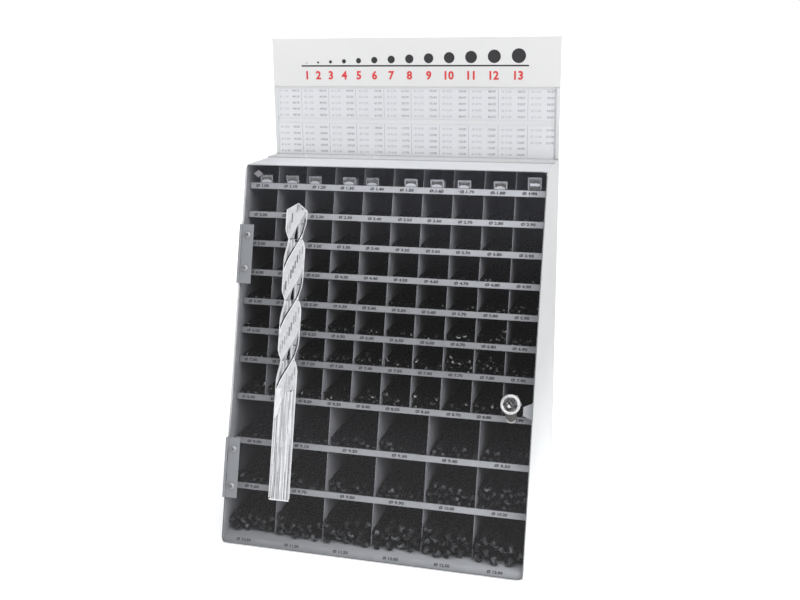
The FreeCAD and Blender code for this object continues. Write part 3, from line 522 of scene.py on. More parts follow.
def clear_ends(m):
    """The cover's ends are thin and scatter nothing."""
    nt = m.node_tree
    x, y, z = xyz(nt, obj_coord(nt))
    out = nt.nodes["Material Output"]
    old = out.inputs["Surface"].links[0].from_socket
    tr = nt.nodes.new("ShaderNodeBsdfTransparent")
    tr.inputs["Color"].default_value = (0.985, 0.985, 0.985, 1)
    mix = nt.nodes.new("ShaderNodeMixShader")
    nt.links.new(remap(nt, calc(nt, "ABSOLUTE", x), 0.0, 0.92, 0.1880, 0.1900), mix.inputs["Fac"])
    nt.links.new(old, mix.inputs[1])
    nt.links.new(tr.outputs[0], mix.inputs[2])
    nt.links.new(mix.outputs[0], out.inputs["Surface"])


clear_ends(M["cover"])


def painted_light_left_edge(m):
    """Painted light on the sawn left edge of the door, brightest along its upper part."""
    nt = m.node_tree
    x, y, z = xyz(nt, obj_coord(nt))
    s_up = up_door(nt, y, z)
    near = remap(nt, x, 1.0, 0.0, -0.1984, -0.1974)
    high = remap(nt, s_up, 0.0, 0.42, 0.13, 0.19)
    out = nt.nodes["Material Output"]
    old = out.inputs["Surface"].links[0].from_socket
    # painted light: a light diffuse colour along the left edge
    di = nt.nodes.new("ShaderNodeBsdfDiffuse")
    di.inputs["Color"].default_value = (0.80, 0.81, 0.81, 1)
    mix = nt.nodes.new("ShaderNodeMixShader")
    nt.links.new(calc(nt, "MULTIPLY", near, high), mix.inputs["Fac"])
    nt.links.new(old, mix.inputs[1])
    nt.links.new(di.outputs[0], mix.inputs[2])
    nt.links.new(mix.outputs[0], out.inputs["Surface"])


painted_light_left_edge(M["door"])


def tray_material():
    """Floor tray: the front of it is covered by the same light film as the label band, painted darker on the left and
    lighter on the right as painted shade and light; the rest is dark paint.
    """
    m, nt, b = new_mat("tray_paint_and_film")
    co = obj_coord(nt)
    sep = nt.nodes.new("ShaderNodeSeparateXYZ")
    nt.links.new(co, sep.inputs[0])
    # distance behind the door's face, in metres
    rec = nt.nodes.new("ShaderNodeMath")
    rec.operation = "MULTIPLY_ADD"
    nt.links.new(sep.outputs["Z"], rec.inputs[0])
    rec.inputs[1].default_value = -TA
    nt.links.new(sep.outputs["Y"], rec.inputs[2])
    edge = nt.nodes.new("ShaderNodeMath")
    edge.operation = "GREATER_THAN"
    nt.links.new(rec.outputs[0], edge.inputs[0])
    edge.inputs[1].default_value = (y_at(9.15, 25.0) - 9.15 * TA) * 0.001
    slow = noise(nt, co, 9.0, 3.0)
    # painted light and shade: the film is darker on the left, lighter on the right
    film = ramp(nt, remap(nt, sep.outputs["X"], 0.0, 1.0, -0.2, 0.2), [(0.0, (0.22, 0.223, 0.232)), (0.25, (0.27, 0.273, 0.285)), (0.55, (0.335, 0.34, 0.355)), (1.0, (0.40, 0.405, 0.42))])
    dark = ramp(nt, slow, [(0.3, (0.10, 0.10, 0.11)), (0.7, (0.13, 0.13, 0.14))])
    mix = nt.nodes.new("ShaderNodeMix")
    mix.data_type = "RGBA"
    nt.links.new(edge.outputs[0], mix.inputs["Factor"])
    s_up = up_door(nt, sep.outputs["Y"], sep.outputs["Z"])
    # painted shadow: a dark band along the film's lower edge, about 2 to 4 mm up the door
    painted_shadow_band = ramp(nt, calc(nt, "MULTIPLY", s_up, 100.0), [(0.17, (1.0, 1.0, 1.0)), (0.23, (0.22, 0.22, 0.22)), (0.33, (0.22, 0.22, 0.22)), (0.40, (1.0, 1.0, 1.0))])
    film_with_painted_shadow = nt.nodes.new("ShaderNodeVectorMath")
    film_with_painted_shadow.operation = "MULTIPLY"
    nt.links.new(film, film_with_painted_shadow.inputs[0])
    nt.links.new(painted_shadow_band, film_with_painted_shadow.inputs[1])
    nt.links.new(film_with_painted_shadow.outputs[0], mix.inputs[6])
    nt.links.new(dark, mix.inputs[7])
    nt.links.new(mix.outputs[2], b.inputs["Base Color"])
    nt.links.new(remap(nt, noise(nt, co, 140.0, 2.0), 0.45, 0.58), b.inputs["Roughness"])
    bump(nt, b, noise(nt, co, 1200.0, 2.0), 0.3, 0.00002)
    return m


M["tray"] = tray_material()


def side_material():
    """Side panels: outside, a coat darker than the case's as painted shade and darker again at mid height as painted
    shade; inside, a light coat at the front with a painted highlight along the front edge, going over through painted
    shade into the dark inner coat further in.
    """
    m, nt, b = new_mat("side_powder_coat")
    co = obj_coord(nt)
    sep = nt.nodes.new("ShaderNodeSeparateXYZ")
    nt.links.new(co, sep.inputs[0])
    ax = nt.nodes.new("ShaderNodeMath")
    ax.operation = "ABSOLUTE"
    nt.links.new(sep.outputs["X"], ax.inputs[0])
    inner = nt.nodes.new("ShaderNodeMath")
    inner.operation = "LESS_THAN"
    nt.links.new(ax.outputs[0], inner.inputs[0])
    inner.inputs[1].default_value = 0.19885
    rec = nt.nodes.new("ShaderNodeMath")
    rec.operation = "MULTIPLY_ADD"
    nt.links.new(sep.outputs["Z"], rec.inputs[0])
    rec.inputs[1].default_value = -TA
    nt.links.new(sep.outputs["Y"], rec.inputs[2])
    base = (FOOT_Y - FOOT_Z * TA) * 0.001
    # painted shade: the inner face goes dark from 5 to 30 mm behind the door
    depth_painted_shade = remap(nt, rec.outputs[0], 0.62, 1.0, base + 0.005 / CA, base + 0.030 / CA)
    both = nt.nodes.new("ShaderNodeMath")
    both.operation = "MULTIPLY"
    nt.links.new(inner.outputs[0], both.inputs[0])
    nt.links.new(depth_painted_shade, both.inputs[1])
    slow = noise(nt, co, 9.0, 3.0)
    coat_in = ramp(nt, slow, [(0.3, (0.57, 0.575, 0.585)), (0.7, (0.60, 0.605, 0.615))])
    # painted shade: the outer coat is darker than the case's coat
    coat_out = ramp(nt, slow, [(0.3, (0.40, 0.41, 0.41)), (0.7, (0.42, 0.43, 0.43))])
    # painted shade: darker round mid height
    waist_painted_shade = ramp(nt, calc(nt, "MULTIPLY", sep.outputs["Z"], 2.0), [(0.34, (1.0, 1.0, 1.0)), (0.50, (0.87, 0.87, 0.87)), (0.64, (0.90, 0.90, 0.90)), (0.92, (1.0, 1.0, 1.0))])
    shaded = nt.nodes.new("ShaderNodeVectorMath")
    shaded.operation = "MULTIPLY"
    nt.links.new(coat_out, shaded.inputs[0])
    nt.links.new(waist_painted_shade, shaded.inputs[1])
    # painted highlight: a light band along the inner face's front edge
    front_edge_painted_light = blend_color(nt, remap(nt, rec.outputs[0], 1.0, 0.0, base + 0.0012 / CA, base + 0.0020 / CA), coat_in, (0.80, 0.805, 0.81))
    light = blend_color(nt, calc(nt, "GREATER_THAN", ax.outputs[0], 0.19985), front_edge_painted_light, shaded.outputs[0])
    dark = ramp(nt, slow, [(0.3, (0.10, 0.10, 0.11)), (0.7, (0.13, 0.13, 0.14))])
    mix = nt.nodes.new("ShaderNodeMix")
    mix.data_type = "RGBA"
    nt.links.new(both.outputs[0], mix.inputs["Factor"])
    nt.links.new(light, mix.inputs[6])
    nt.links.new(dark, mix.inputs[7])
    nt.links.new(mix.outputs[2], b.inputs["Base Color"])
    nt.links.new(remap(nt, noise(nt, co, 140.0, 2.0), 0.40, 0.50), b.inputs["Roughness"])
    bump(nt, b, noise(nt, co, 900.0, 2.0), 0.35, 0.00004)
    return m


M["side"] = side_material()


def back_material():
    """Back panel: light coat outside, dark inside."""
    m, nt, b = new_mat("back_powder_coat")
    co = obj_coord(nt)
    x, y, z = xyz(nt, co)
    outer = calc(nt, "GREATER_THAN", y, 0.12265)
    slow = noise(nt, co, 9.0, 3.0)
    light = ramp(nt, slow, [(0.3, (0.56, 0.57, 0.59)), (0.7, (0.59, 0.60, 0.62))])
    dark = ramp(nt, slow, [(0.3, (0.08, 0.08, 0.088)), (0.7, (0.11, 0.11, 0.12))])
    # spot welds in a row at each shelf, seven across
    rows = None
    for level in FLOOR[:10]:
        gap = calc(nt, "ABSOLUTE", calc(nt, "SUBTRACT", z, (level + 4.0) * 0.001))
        rows = gap if rows is None else calc(nt, "MINIMUM", rows, gap)
    px = calc(nt, "PINGPONG", x, 0.028)
    d = calc(nt, "SQRT", calc(nt, "ADD", calc(nt, "MULTIPLY", px, px), calc(nt, "MULTIPLY", rows, rows)))
    dimple = remap(nt, d, 0.0, 1.0, 0.0017, 0.0027)
    worn = blend_color(nt, dimple, (0.50, 0.51, 0.525), light)
    nt.links.new(blend_color(nt, outer, dark, worn), b.inputs["Base Color"])
    nt.links.new(remap(nt, noise(nt, co, 140.0, 2.0), 0.42, 0.52), b.inputs["Roughness"])
    bump(nt, b, noise(nt, co, 900.0, 2.0), 0.35, 0.00004)
    press = nt.nodes.new("ShaderNodeBump")
    press.inputs["Strength"].default_value = 0.7
    press.inputs["Distance"].default_value = 0.0003
    nt.links.new(calc(nt, "MAXIMUM", dimple, calc(nt, "SUBTRACT", 1.0, outer)), press.inputs["Height"])
    nt.links.new(press.outputs["Normal"], b.inputs["Normal"].links[0].from_node.inputs["Normal"])
    return m


M["back"] = back_material()

NODE_MAT = {"floor_tray": "tray", "top_panel": "case", "bottom_panel": "case", "back_panel": "back",
            "side_panel_left": "side", "side_panel_right": "side",
            "label_strips": "strip", "header_board": "board", "header_rivets": "board", "sign_plate": "sign",
            "table_card_upper": "card", "table_card_lower": "card", "card_cover_upper": "cover", "card_cover_lower": "cover",
            "card_rails": "rail", "hinge_case_leaf_upper": "hinge", "hinge_case_leaf_lower": "hinge",
            "hinge_pin_upper": "zinc", "hinge_pin_lower": "zinc", "case_leaf_rivets": "screw", "strike_tab": "tab",
            "mini_box_bodies": "mini", "mini_box_lids": "mini", "door_panel": "door",
            "hinge_door_leaf_upper": "hinge", "hinge_door_leaf_lower": "hinge", "door_leaf_screws": "screw", "door_leaf_nuts": "zinc",
            "door_sticker": "sticker", "drill_decal": "ink_w", "lock_housing": "chrome", "lock_nut": "nut",
            "lock_plug": "brass", "lock_cam": "cam", "cam_screw": "screw"}
for k in range(1, 11):
    NODE_MAT["shelf_%02d" % k] = "dark"
for k in range(1, 12):
    NODE_MAT["dividers_row_%02d" % k] = "fin"
for name, key in NODE_MAT.items():
    ob = NODES[name]
    ob.data.materials.clear()
    ob.data.materials.append(M[key])


def bevel(name, width, angle=40, seg=2):
    md = NODES[name].modifiers.new("edge", "BEVEL")
    md.width = width
    md.segments = seg
    md.limit_method = "ANGLE"
    md.angle_limit = math.radians(angle)
    md.harden_normals = True


for name, width in (("hinge_door_leaf_upper", 0.00025), ("hinge_door_leaf_lower", 0.00025), ("hinge_case_leaf_upper", 0.00025),
                    ("hinge_case_leaf_lower", 0.00025), ("strike_tab", 0.0003), ("lock_nut", 0.0004), ("lock_cam", 0.0003),
                    ("door_leaf_nuts", 0.0003), ("card_rails", 0.0002), ("sign_plate", 0.0003), ("door_panel", 0.0005),
                    ("door_leaf_screws", 0.0003), ("header_rivets", 0.0002), ("case_leaf_rivets", 0.0002), ("lock_housing", 0.00035),
                    ("lock_plug", 0.00015), ("cam_screw", 0.0003), ("header_board", 0.0002)):
    bevel(name, width)

# ------------------------------------------------------------------ mesh helpers


def make_mesh(name, verts, faces, mats, mat_index=None, smooth=None, sharp=None):
    me = bpy.data.meshes.new(name)
    me.from_pydata([tuple(v) for v in verts], [], faces)
    me.validate()
    for m in mats:
        me.materials.append(m)
    if mat_index is not None and len(mat_index) == len(me.polygons):
        me.polygons.foreach_set("material_index", mat_index)
    if smooth is not None and len(smooth) == len(me.polygons):
        me.polygons.foreach_set("use_smooth", smooth)
    me.update()
    if sharp is not None:
        me.set_sharp_from_angle(angle=math.radians(sharp))
    ob = bpy.data.objects.new(name, me)
    SCENE.collection.objects.link(ob)
    return ob


class Soup:
    """Collects triangles and quads of many small shapes into one mesh."""

    def __init__(self):
        self.v, self.f, self.m, self.s, self.n = [], [], [], [], 0

    def add(self, verts, faces, mat=0, smooth=False, mats=None, smooths=None):
        self.v.append(np.asarray(verts, float).reshape(-1, 3))
        self.f.extend([tuple(i + self.n for i in f) for f in faces])
        self.m.extend(mats if mats is not None else [mat] * len(faces))
        self.s.extend(smooths if smooths is not None else [smooth] * len(faces))
        self.n += len(self.v[-1])

    def build(self, name, mats, matrix=None, sharp=None):
        v = np.concatenate(self.v)
        if matrix is not None:
            mt = np.array(matrix)
            v = v @ mt[:3, :3].T + mt[:3, 3]
        return make_mesh(name, v, self.f, mats, self.m, self.s, sharp)


# ------------------------------------------------------------------ lettering (plain numbers)
_font = bpy.data.curves.new("number_font", "FONT")
_font.resolution_u = 2
_font_ob = bpy.data.objects.new("number_font", _font)
SCENE.collection.objects.link(_font_ob)
_glyphs = {}


def text_geo(text, size, extrude, bold=0.0):
    key = (text, size, extrude, bold)
    if key not in _glyphs:
        _font.body = text
        _font.size = size
        _font.extrude = extrude
        _font.offset = bold
        _font.align_x = "LEFT"
        _font.align_y = "BOTTOM_BASELINE"
        bpy.context.view_layer.update()
        me = bpy.data.meshes.new_from_object(_font_ob)
        v = np.empty(len(me.vertices) * 3)
        me.vertices.foreach_get("co", v)
        v = v.reshape(-1, 3)
        f = [tuple(p.vertices) for p in me.polygons]
        bpy.data.meshes.remove(me)
        _glyphs[key] = (v, f)
    v, f = _glyphs[key]
    return v.copy(), f


def put_text(soup, text, x, y, z, size, extrude=0.02, anchor="left", width=None, mat=0, bold=0.0):
    v, f = text_geo(text, size, extrude, bold)
    lo, hi = v[:, 0].min(), v[:, 0].max()
    if width:
        v[:, 0] = (v[:, 0] - lo) * (width / (hi - lo)) + lo
        hi = lo + width
    if anchor == "center":
        v[:, 0] += x - (lo + hi) / 2
    elif anchor == "right":
        v[:, 0] += x - hi
    else:
        v[:, 0] += x - lo
    v[:, 1] += y
    v[:, 2] += z + extrude
    soup.add(v, f, mat)


def size_text(value):
    return "%.1f" % value


SIZES = [[(10 * r + c) / 10.0 for c in range(10)] for r in range(1, 9)]
SIZES += [[9.0, 9.1, 9.2, 9.3, 9.4, 9.5], [9.6, 9.7, 9.8, 9.9, 10.0, 10.2], [10.5, 11.0, 11.5, 12.0, 12.5, 13.0]]

rng = random.Random(5)
lab = Soup()
for row in range(1, 12):
    for col in range(COLS[row - 1]):
        a, b = cell_x(row, col)
        cx = a + (b - a) * (0.455 if row <= 8 else 0.465 if row <= 10 else 0.48) + rng.uniform(-0.6, 0.6)
        if row <= 10:
            s0, n0 = LIP_S[row - 1] + 2.55, -17.6
        else:
            s0, n0 = 4.5 - 0.22 * col, -4.6
            cx -= 0.5 * (5 - col)
        put_text(lab, "Ø %.2f" % SIZES[row - 1][col], cx, s0 + rng.uniform(-0.25, 0.25), n0, 4.9, 0.02, "center", 18.6 if row <= 8 else 20.2, 0, 0.21)
labels = lab.build("label_numbers", [M["ink"]], DOOR)
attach(labels, "case")

# overall and flute length for each diameter
JOBBER = [(1.0, 34, 12), (1.5, 40, 18), (2.0, 49, 24), (2.5, 57, 30), (3.0, 61, 33), (3.5, 70, 39), (4.0, 75, 43), (4.5, 80, 47),
          (5.0, 86, 52), (5.5, 93, 57), (6.0, 93, 57), (6.5, 101, 63), (7.0, 109, 69), (7.5, 109, 69), (8.0, 117, 75), (8.5, 117, 75),
          (9.0, 125, 81), (9.5, 125, 81), (10.0, 133, 87), (10.6, 133, 87), (11.0, 142, 94), (11.8, 142, 94), (12.5, 151, 101), (13.2, 151, 101)]


def jobber(d):
    for lim, length, flute in JOBBER:
        if d <= lim + 1e-6:
            return length, flute
    return 151, 101


# ------------------------------------------------------------------ header: size tables and the plain sign
CARD_Y = 121.6
tab = Soup()


def line_box(soup, x0, z0, x1, z1, n0, n1, mat=0):
    v = [(x0, z0, n0), (x1, z0, n0), (x1, z1, n0), (x0, z1, n0), (x0, z0, n1), (x1, z0, n1), (x1, z1, n1), (x0, z1, n1)]
    f = [(3, 2, 1, 0), (4, 5, 6, 7), (0, 1, 5, 4), (1, 2, 6, 5), (2, 3, 7, 6), (3, 0, 4, 7)]
    soup.add(v, f, mat)


SEPS = [-196.0, -159.0, -119.0, -79.7, -39.5, -1.3, 37.7, 78.2, 118.1, 157.4, 196.0]
flat = [v for r in SIZES for v in r]
order = 0
for part, z_rows, lo, hi in (("upper", (570.2, 562.0, 553.7, 545.4, 537.0), 533.0, 574.0),
                             ("lower", (520.3, 511.9, 503.5, 495.7, 487.2), 483.0, 527.0)):
    n0 = -CARD_Y
    for i, sx in enumerate(SEPS[1:-1]):
        line_box(tab, sx - 0.22, lo + 1.2, sx + 0.22, hi - 1.2, n0, n0 + 0.04, 1)
    for a, b in zip(SEPS[:-1], SEPS[1:]):
        line_box(tab, a + 1.0, hi - 1.25, b - 1.0, hi - 1.05, n0, n0 + 0.04, 1)
    for c in range(10):
        for r, zr in enumerate(z_rows):
            if part == "lower" and c == 9 and r > 2:
                continue
            if order >= len(flat):
                continue
            d = flat[order]
            order += 1
            a, b = SEPS[c], SEPS[c + 1]
            length, flute = jobber(d)
            put_text(tab, "Ø %.2f" % d, a + 4.2, zr - 1.7, n0, 3.9, 0.02, "left", 13.2 if d < 10 else 14.6, 2, 0.02)
            put_text(tab, "%d/%d" % (length, flute), b - 3.4, zr - 1.7, n0, 4.1, 0.02, "right", 10.2, 0, 0.06)
tables = tab.build("table_numbers", [M["ink_grey"], M["line"], M["ink_pale"]], UPRIGHT)
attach(tables, "case")

# plain gauge on the sign: discs of 1 to 13 mm with their numbers
sg = Soup()
SIGN_N = -121.0
x = -150.0
for d in range(1, 14):
    rad = d * 0.72
    x += rad
    seg = 40
    cz = 606.4 + rad
    ring = [(x + rad * math.cos(2 * math.pi * i / seg), cz + rad * math.sin(2 * math.pi * i / seg)) for i in range(seg)]
    v = [(p, q, SIGN_N) for p, q in ring] + [(p, q, SIGN_N + 0.05) for p, q in ring]
    f = [tuple(range(seg, 2 * seg)), tuple(range(seg - 1, -1, -1))] + [(i, (i + 1) % seg, seg + (i + 1) % seg, seg + i) for i in range(seg)]
    sg.add(v, f, 0)
    put_text(sg, "%d" % d, x, 585.6, SIGN_N, 15.0, 0.03, "center", None, 1, 0.55)
    x += rad + 14.4
line_box(sg, -157.0, 602.2, 158.0, 604.2, SIGN_N, SIGN_N + 0.05, 0)
sign = sg.build("sign_gauge_numbers", [M["ink"], M["ink_red"]], UPRIGHT)
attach(sign, "case")

bpy.data.objects.remove(_font_ob)

# ------------------------------------------------------------------ twist drills lying in the compartments
HALF_COARSE = [(-38, 1.0), (-14, 0.96), (18, 0.96), (38, 0.93), (70, 0.40), (102, 0.27)]
HALF_FINE = [(-38, 1.0), (-29, 1.0), (-26, 0.95), (0, 0.955), (26, 0.955), (38, 0.93), (54, 0.62), (74, 0.36), (96, 0.25), (116, 0.34), (131, 0.64)]


def drill_geo(d, length, flute, half, per_turn, seed):
    """A two-flute twist drill, tip at the origin, axis along +y. Returns verts, faces, material and smooth flags."""
    rnd = random.Random(seed)
    rad = d / 2.0
    outline = [(math.radians(t), r) for t, r in half] + [(math.radians(t + 180), r) for t, r in half]
    count = len(outline)
    pitch = 5.44 * d
    turn0 = rnd.uniform(0, 2 * math.pi)
    steps = max(6, int(round(flute / pitch * per_turn)))
    verts, faces, mats, smooths = [], [], [], []
    cone = 1.0 / math.tan(math.radians(59))

    def ring(at, blend, tip=False):
        for t, r in outline:
            rr = r * (1 - blend) + blend
            ang = t + turn0 - 2 * math.pi * at / pitch
            yy = at + (rad * r * cone if tip else 0.0)
            verts.append((rad * rr * math.cos(ang), yy, rad * rr * math.sin(ang)))

    ring(0.0, 0.0, True)
    start = rad * cone + 0.15 * rad
    for k in range(steps + 1):
        at = start + (flute - start) * k / steps
        ring(at, max(0.0, (at - (flute - 1.1 * d)) / (1.1 * d)) ** 0.6 if at > flute - 1.1 * d else 0.0)
    ring(length - 0.12 * rad, 1.0)
    rings = steps + 3
    for k in range(rings - 1):
        for i in range(count):
            j = (i + 1) % count
            faces.append((k * count + i, (k + 1) * count + i, (k + 1) * count + j, k * count + j))
            mats.append(0)
            smooths.append(True)
    tip = len(verts)
    verts.append((0.0, 0.0, 0.0))
    for i in range(count):
        faces.append((tip, i, (i + 1) % count))
        mats.append(1)
        smooths.append(False)
    base = len(verts)
    for i in range(count):
        p = verts[(rings - 1) * count + i]
        verts.append((p[0] * 0.88, length, p[2] * 0.88))
    for i in range(count):
        j = (i + 1) % count
        faces.append(((rings - 1) * count + i, base + i, base + j, (rings - 1) * count + j))
        mats.append(0)
        smooths.append(False)
    faces.append(tuple(base + i for i in range(count)))
    mats.append(0)
    smooths.append(False)
    return np.array(verts), faces, mats, smooths


def pile(a, b, floor, d, number, rnd):
    """Circles of diameter d dropped into the gap a..b: each rests on the floor, a wall and a circle, or two circles."""
    r = d / 2.0
    gap = 0.12
    got = []
    room = (b - a) - 2 * gap
    per = max(1, int(room / (d + 0.1)))
    for _ in range(number):
        cand = []
        floor_row = sorted(c[0] for c in got if c[1] < floor + r + 0.1)
        marks = [a + gap - r] + floor_row + [b - gap + r]
        for p, q in zip(marks[:-1], marks[1:]):
            if q - p >= 2 * d + 0.08:
                lo, hi = p + d + 0.04, q - d - 0.04
                loose = rnd.random() < 0.5
                cand.append((floor + r + 0.02, rnd.uniform(lo, hi) if loose and len(floor_row) < per * 0.6 else lo + min(hi - lo, rnd.uniform(0, 0.25 * d))))
        sup = list(got)
        for i, (x1, z1) in enumerate(sup):
            for wall in (a + gap + r, b - gap - r):
                dx = abs(wall - x1)
                if 0.05 * d < dx < d:
                    cand.append((z1 + math.sqrt((d + 0.03) ** 2 - dx * dx), wall))
            for x2, z2 in sup[i + 1:]:
                dx, dz = x2 - x1, z2 - z1
                dist = math.hypot(dx, dz)
                if dist >= 2 * d or dist < 1e-6 or abs(dx) < 0.35 * d:
                    continue
                h = math.sqrt((d + 0.03) ** 2 - dist * dist / 4)
                mx, mz = (x1 + x2) / 2, (z1 + z2) / 2
                nx, nz = -dz / dist, dx / dist
                if nz < 0:
                    nx, nz = -nx, -nz
                px, pz = mx + nx * h, mz + nz * h
                if min(x1, x2) < px < max(x1, x2):
                    cand.append((pz, px))
        good = []
        for z, xx in cand:
            if xx < a + gap + r - 1e-6 or xx > b - gap - r + 1e-6:
                continue
            if all(math.hypot(xx - x1, z - z1) >= d for x1, z1 in got):
                good.append((z, xx))
        if not good:
            break
        good.sort()
        pick = good[0] if rnd.random() < 0.55 else good[min(len(good) - 1, rnd.randint(0, 2))]
        got.append((pick[1], pick[0]))
    return got


# how many drills lie in each compartment
COUNT = {2: [9] * 10, 3: [8, 9, 8, 7, 9, 8, 9, 7, 8, 9], 4: [7, 8, 7, 8, 7, 8, 8, 7, 8, 9],
         5: [11, 8, 9, 8, 7, 10, 8, 8, 9, 14], 6: [9, 7, 8, 11, 9, 8, 6, 9, 10, 9], 7: [6, 7, 9, 9, 9, 7, 7, 13, 12, 7],
         8: [9, 6, 7, 6, 8, 7, 9, 6, 7, 8], 9: [7, 7, 9, 8, 8, 10], 10: [7, 8, 9, 9, 15, 17], 11: [12, 11, 13, 12, 12, 10]}
for row in range(2, 12):
    soup = Soup()
    fine = row >= 9
    for col in range(COLS[row - 1]):
        rnd = random.Random(1000 * row + col)
        d = SIZES[row - 1][col]
        length, flute = jobber(d)
        a, b = cell_x(row, col)
        for i, (px, pz) in enumerate(pile(a, b, FLOOR[row - 1], d, COUNT[row][col], rnd)):
            v, f, mt, sm = drill_geo(d, length, flute, HALF_FINE if fine else HALF_COARSE, 16 if fine else 8, 7919 * row + 101 * col + i)
            front = y_at(min(pz + d / 2, FLOOR[row - 1] + 60), 20.0) if row <= 10 else y_at(pz + d / 2, (12.0, 9.0, 8.0, 7.0, 5.5, 4.0)[col])
            v[:, 0] += px
            v[:, 1] += front + 0.4 + rnd.random() ** 1.6 * (9.0 if fine else 7.0)
            v[:, 2] += pz
            soup.add(v, f, mats=mt, smooths=sm)
    ob = soup.build("drills_row_%02d" % row, [M["oxide"], M["ground_big" if fine else "ground"]], MM, 38)
    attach(ob, "case")

# ------------------------------------------------------------------ what the small clear boxes hold
BOX_X = [-175.8, -138.6, -107.0, -59.6, -28.4, 23.6, 58.0, 93.5, 139.8, 182.8]
BOX_Y = 26.0
BOX_HIGH = [15.0] * 9 + [21.0]
tiny, slip = Soup(), Soup()


def folded(points, z_low, z_top, mat):
    """a strip of paper that stands on edge along the points, with an uneven upper edge"""
    vs, fs = [], []
    for (x0, y0), top in zip(points, z_top):
        vs += [(x0, y0, z_low), (x0, y0, top), (x0 + 0.05, y0 + 0.2, z_low), (x0 + 0.05, y0 + 0.2, top)]
    n = len(points) - 1
    for k in range(n):
        p, q = 4 * k, 4 * (k + 1)
        fs += [(p, q, q + 1, p + 1), (p + 2, p + 3, q + 3, q + 2), (p + 1, q + 1, q + 3, p + 3), (p, p + 2, q + 2, q)]
    fs += [(0, 1, 3, 2), (4 * n, 4 * n + 2, 4 * n + 3, 4 * n + 1)]
    slip.add(vs, fs, mat, False)


for i, bx in enumerate(BOX_X):
    rnd = random.Random(77 + i)
    d = SIZES[0][i]
    length, flute = jobber(d)
    z0 = FLOOR[0] + 1.0
    for px, pz in pile(bx - 7.4, bx + 7.4, z0, d, 14 if d < 1.5 else 9, rnd):
        v, f, mt, sm = drill_geo(d, length, flute, HALF_COARSE, 6, 31 * i + int(px * 10))
        v[:, 0] += px
        v[:, 1] += BOX_Y + 2.0 + rnd.random() * (41.0 - length)
        v[:, 2] += pz
        tiny.add(v, f, mats=mt, smooths=sm)
    # folded paper slip against the inside of the box's front
    # the right-hand five boxes take the lighter slip, painted light
    side = 0 if i < 5 else 1
    if i < 9:
        lo, hi, high = bx - 7.1, bx + rnd.uniform(5.6, 6.8), 9.8 + rnd.uniform(-0.5, 0.6)
        pts = [(lo + (hi - lo) * k / 10, BOX_Y + 1.12 + 0.16 * math.sin(math.pi * k / 10)) for k in range(11)]
        folded(pts, z0 + 0.1, [z0 + high * (0.64 + 0.36 * math.sin(math.pi * (0.06 + 0.88 * k / 10)) ** 0.5) + 0.2 * math.sin(2.2 * k + i) for k in range(11)], side)
        if i in (3, 6):
            pts = [(bx + 7.1, BOX_Y + 1.4 + 15.0 * k / 6) for k in range(7)]
            folded(pts, z0 + 0.1, [z0 + 12.6 + 0.2 * math.sin(k * 1.7) for k in range(7)], side)
    else:
        pts = [(bx - 6.2 + 12.4 * k / 10, BOX_Y + 1.25 + 0.3 * math.sin(math.pi * k / 10)) for k in range(11)]
        folded(pts, z0 + 11.2, [z0 + 14.6 + 0.3 * math.sin(1.3 * k) for k in range(11)], side)
rim = Soup()


def solid_box(soup, x0, y0, z0, x1, y1, z1, mat=0):
    v = [(x0, y0, z0), (x1, y0, z0), (x1, y1, z0), (x0, y1, z0), (x0, y0, z1), (x1, y0, z1), (x1, y1, z1), (x0, y1, z1)]
    f = [(3, 2, 1, 0), (4, 5, 6, 7), (0, 1, 5, 4), (1, 2, 6, 5), (2, 3, 7, 6), (3, 0, 4, 7)]
    soup.add(v, f, mat)


for i, bx in enumerate(BOX_X):
    # the right-hand five boxes take the lighter rim, painted light
    z0, w, by, top, side = FLOOR[0], 8.5, BOX_Y, BOX_HIGH[i], 0 if i < 5 else 1
    solid_box(rim, bx - w - 0.08, by - 0.08, z0 + 0.1, bx - w + 1.35, by + 1.3, z0 + top - 0.1, side)
    solid_box(rim, bx + w - 1.35, by - 0.08, z0 + 0.1, bx + w + 0.08, by + 1.3, z0 + top - 0.1, side)
    solid_box(rim, bx - w + 1.35, by - 0.08, z0 + 0.1, bx + w - 1.35, by + 1.3, z0 + 1.3, side)
    solid_box(rim, bx - w - 0.08, by - 0.10, z0 + top + 0.05, bx + w + 0.08, by + 1.6, z0 + top + 2.08, side)
ob = rim.build("mini_box_rims", [M["rim"], M["rim_right"]], MM)
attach(ob, "case")
ob = tiny.build("mini_box_drills", [M["bright"], M["bright"]], MM, 38)
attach(ob, "case")
ob = slip.build("mini_box_slips", [M["paper"], M["paper_right"]], MM)
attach(ob, "case")

# ------------------------------------------------------------------ the drill printed on the door
DX, TIP, END, R0 = -123.0, 450.5, 62.5, 14.5
WAIST = [483.0, 403.0, 323.5, 245.0, 166.0]
pr = Soup()
INK_N = 0.03


def ribbon(points, z0, z1, mat):
    """points: (x_left, x_right, s) down the print. Makes a thin closed ribbon of ink."""
    if len(points) < 2:
        return
    vs, fs = [], []
    for xl, xr, at_s in points:
        vs += [(xl, at_s, z0), (xr, at_s, z0), (xl, at_s, z1), (xr, at_s, z1)]
    for k in range(len(points) - 1):
        p, q = 4 * k, 4 * (k + 1)
        fs += [(p + 2, q + 2, q + 3, p + 3), (p, p + 1, q + 1, q), (p, q, q + 2, p + 2), (p + 1, p + 3, q + 3, q + 1)]
    fs += [(0, 2, 3, 1)]
    e = 4 * (len(points) - 1)
    fs += [(e, e + 1, e + 3, e + 2)]
    pr.add(vs, fs, mat, False)


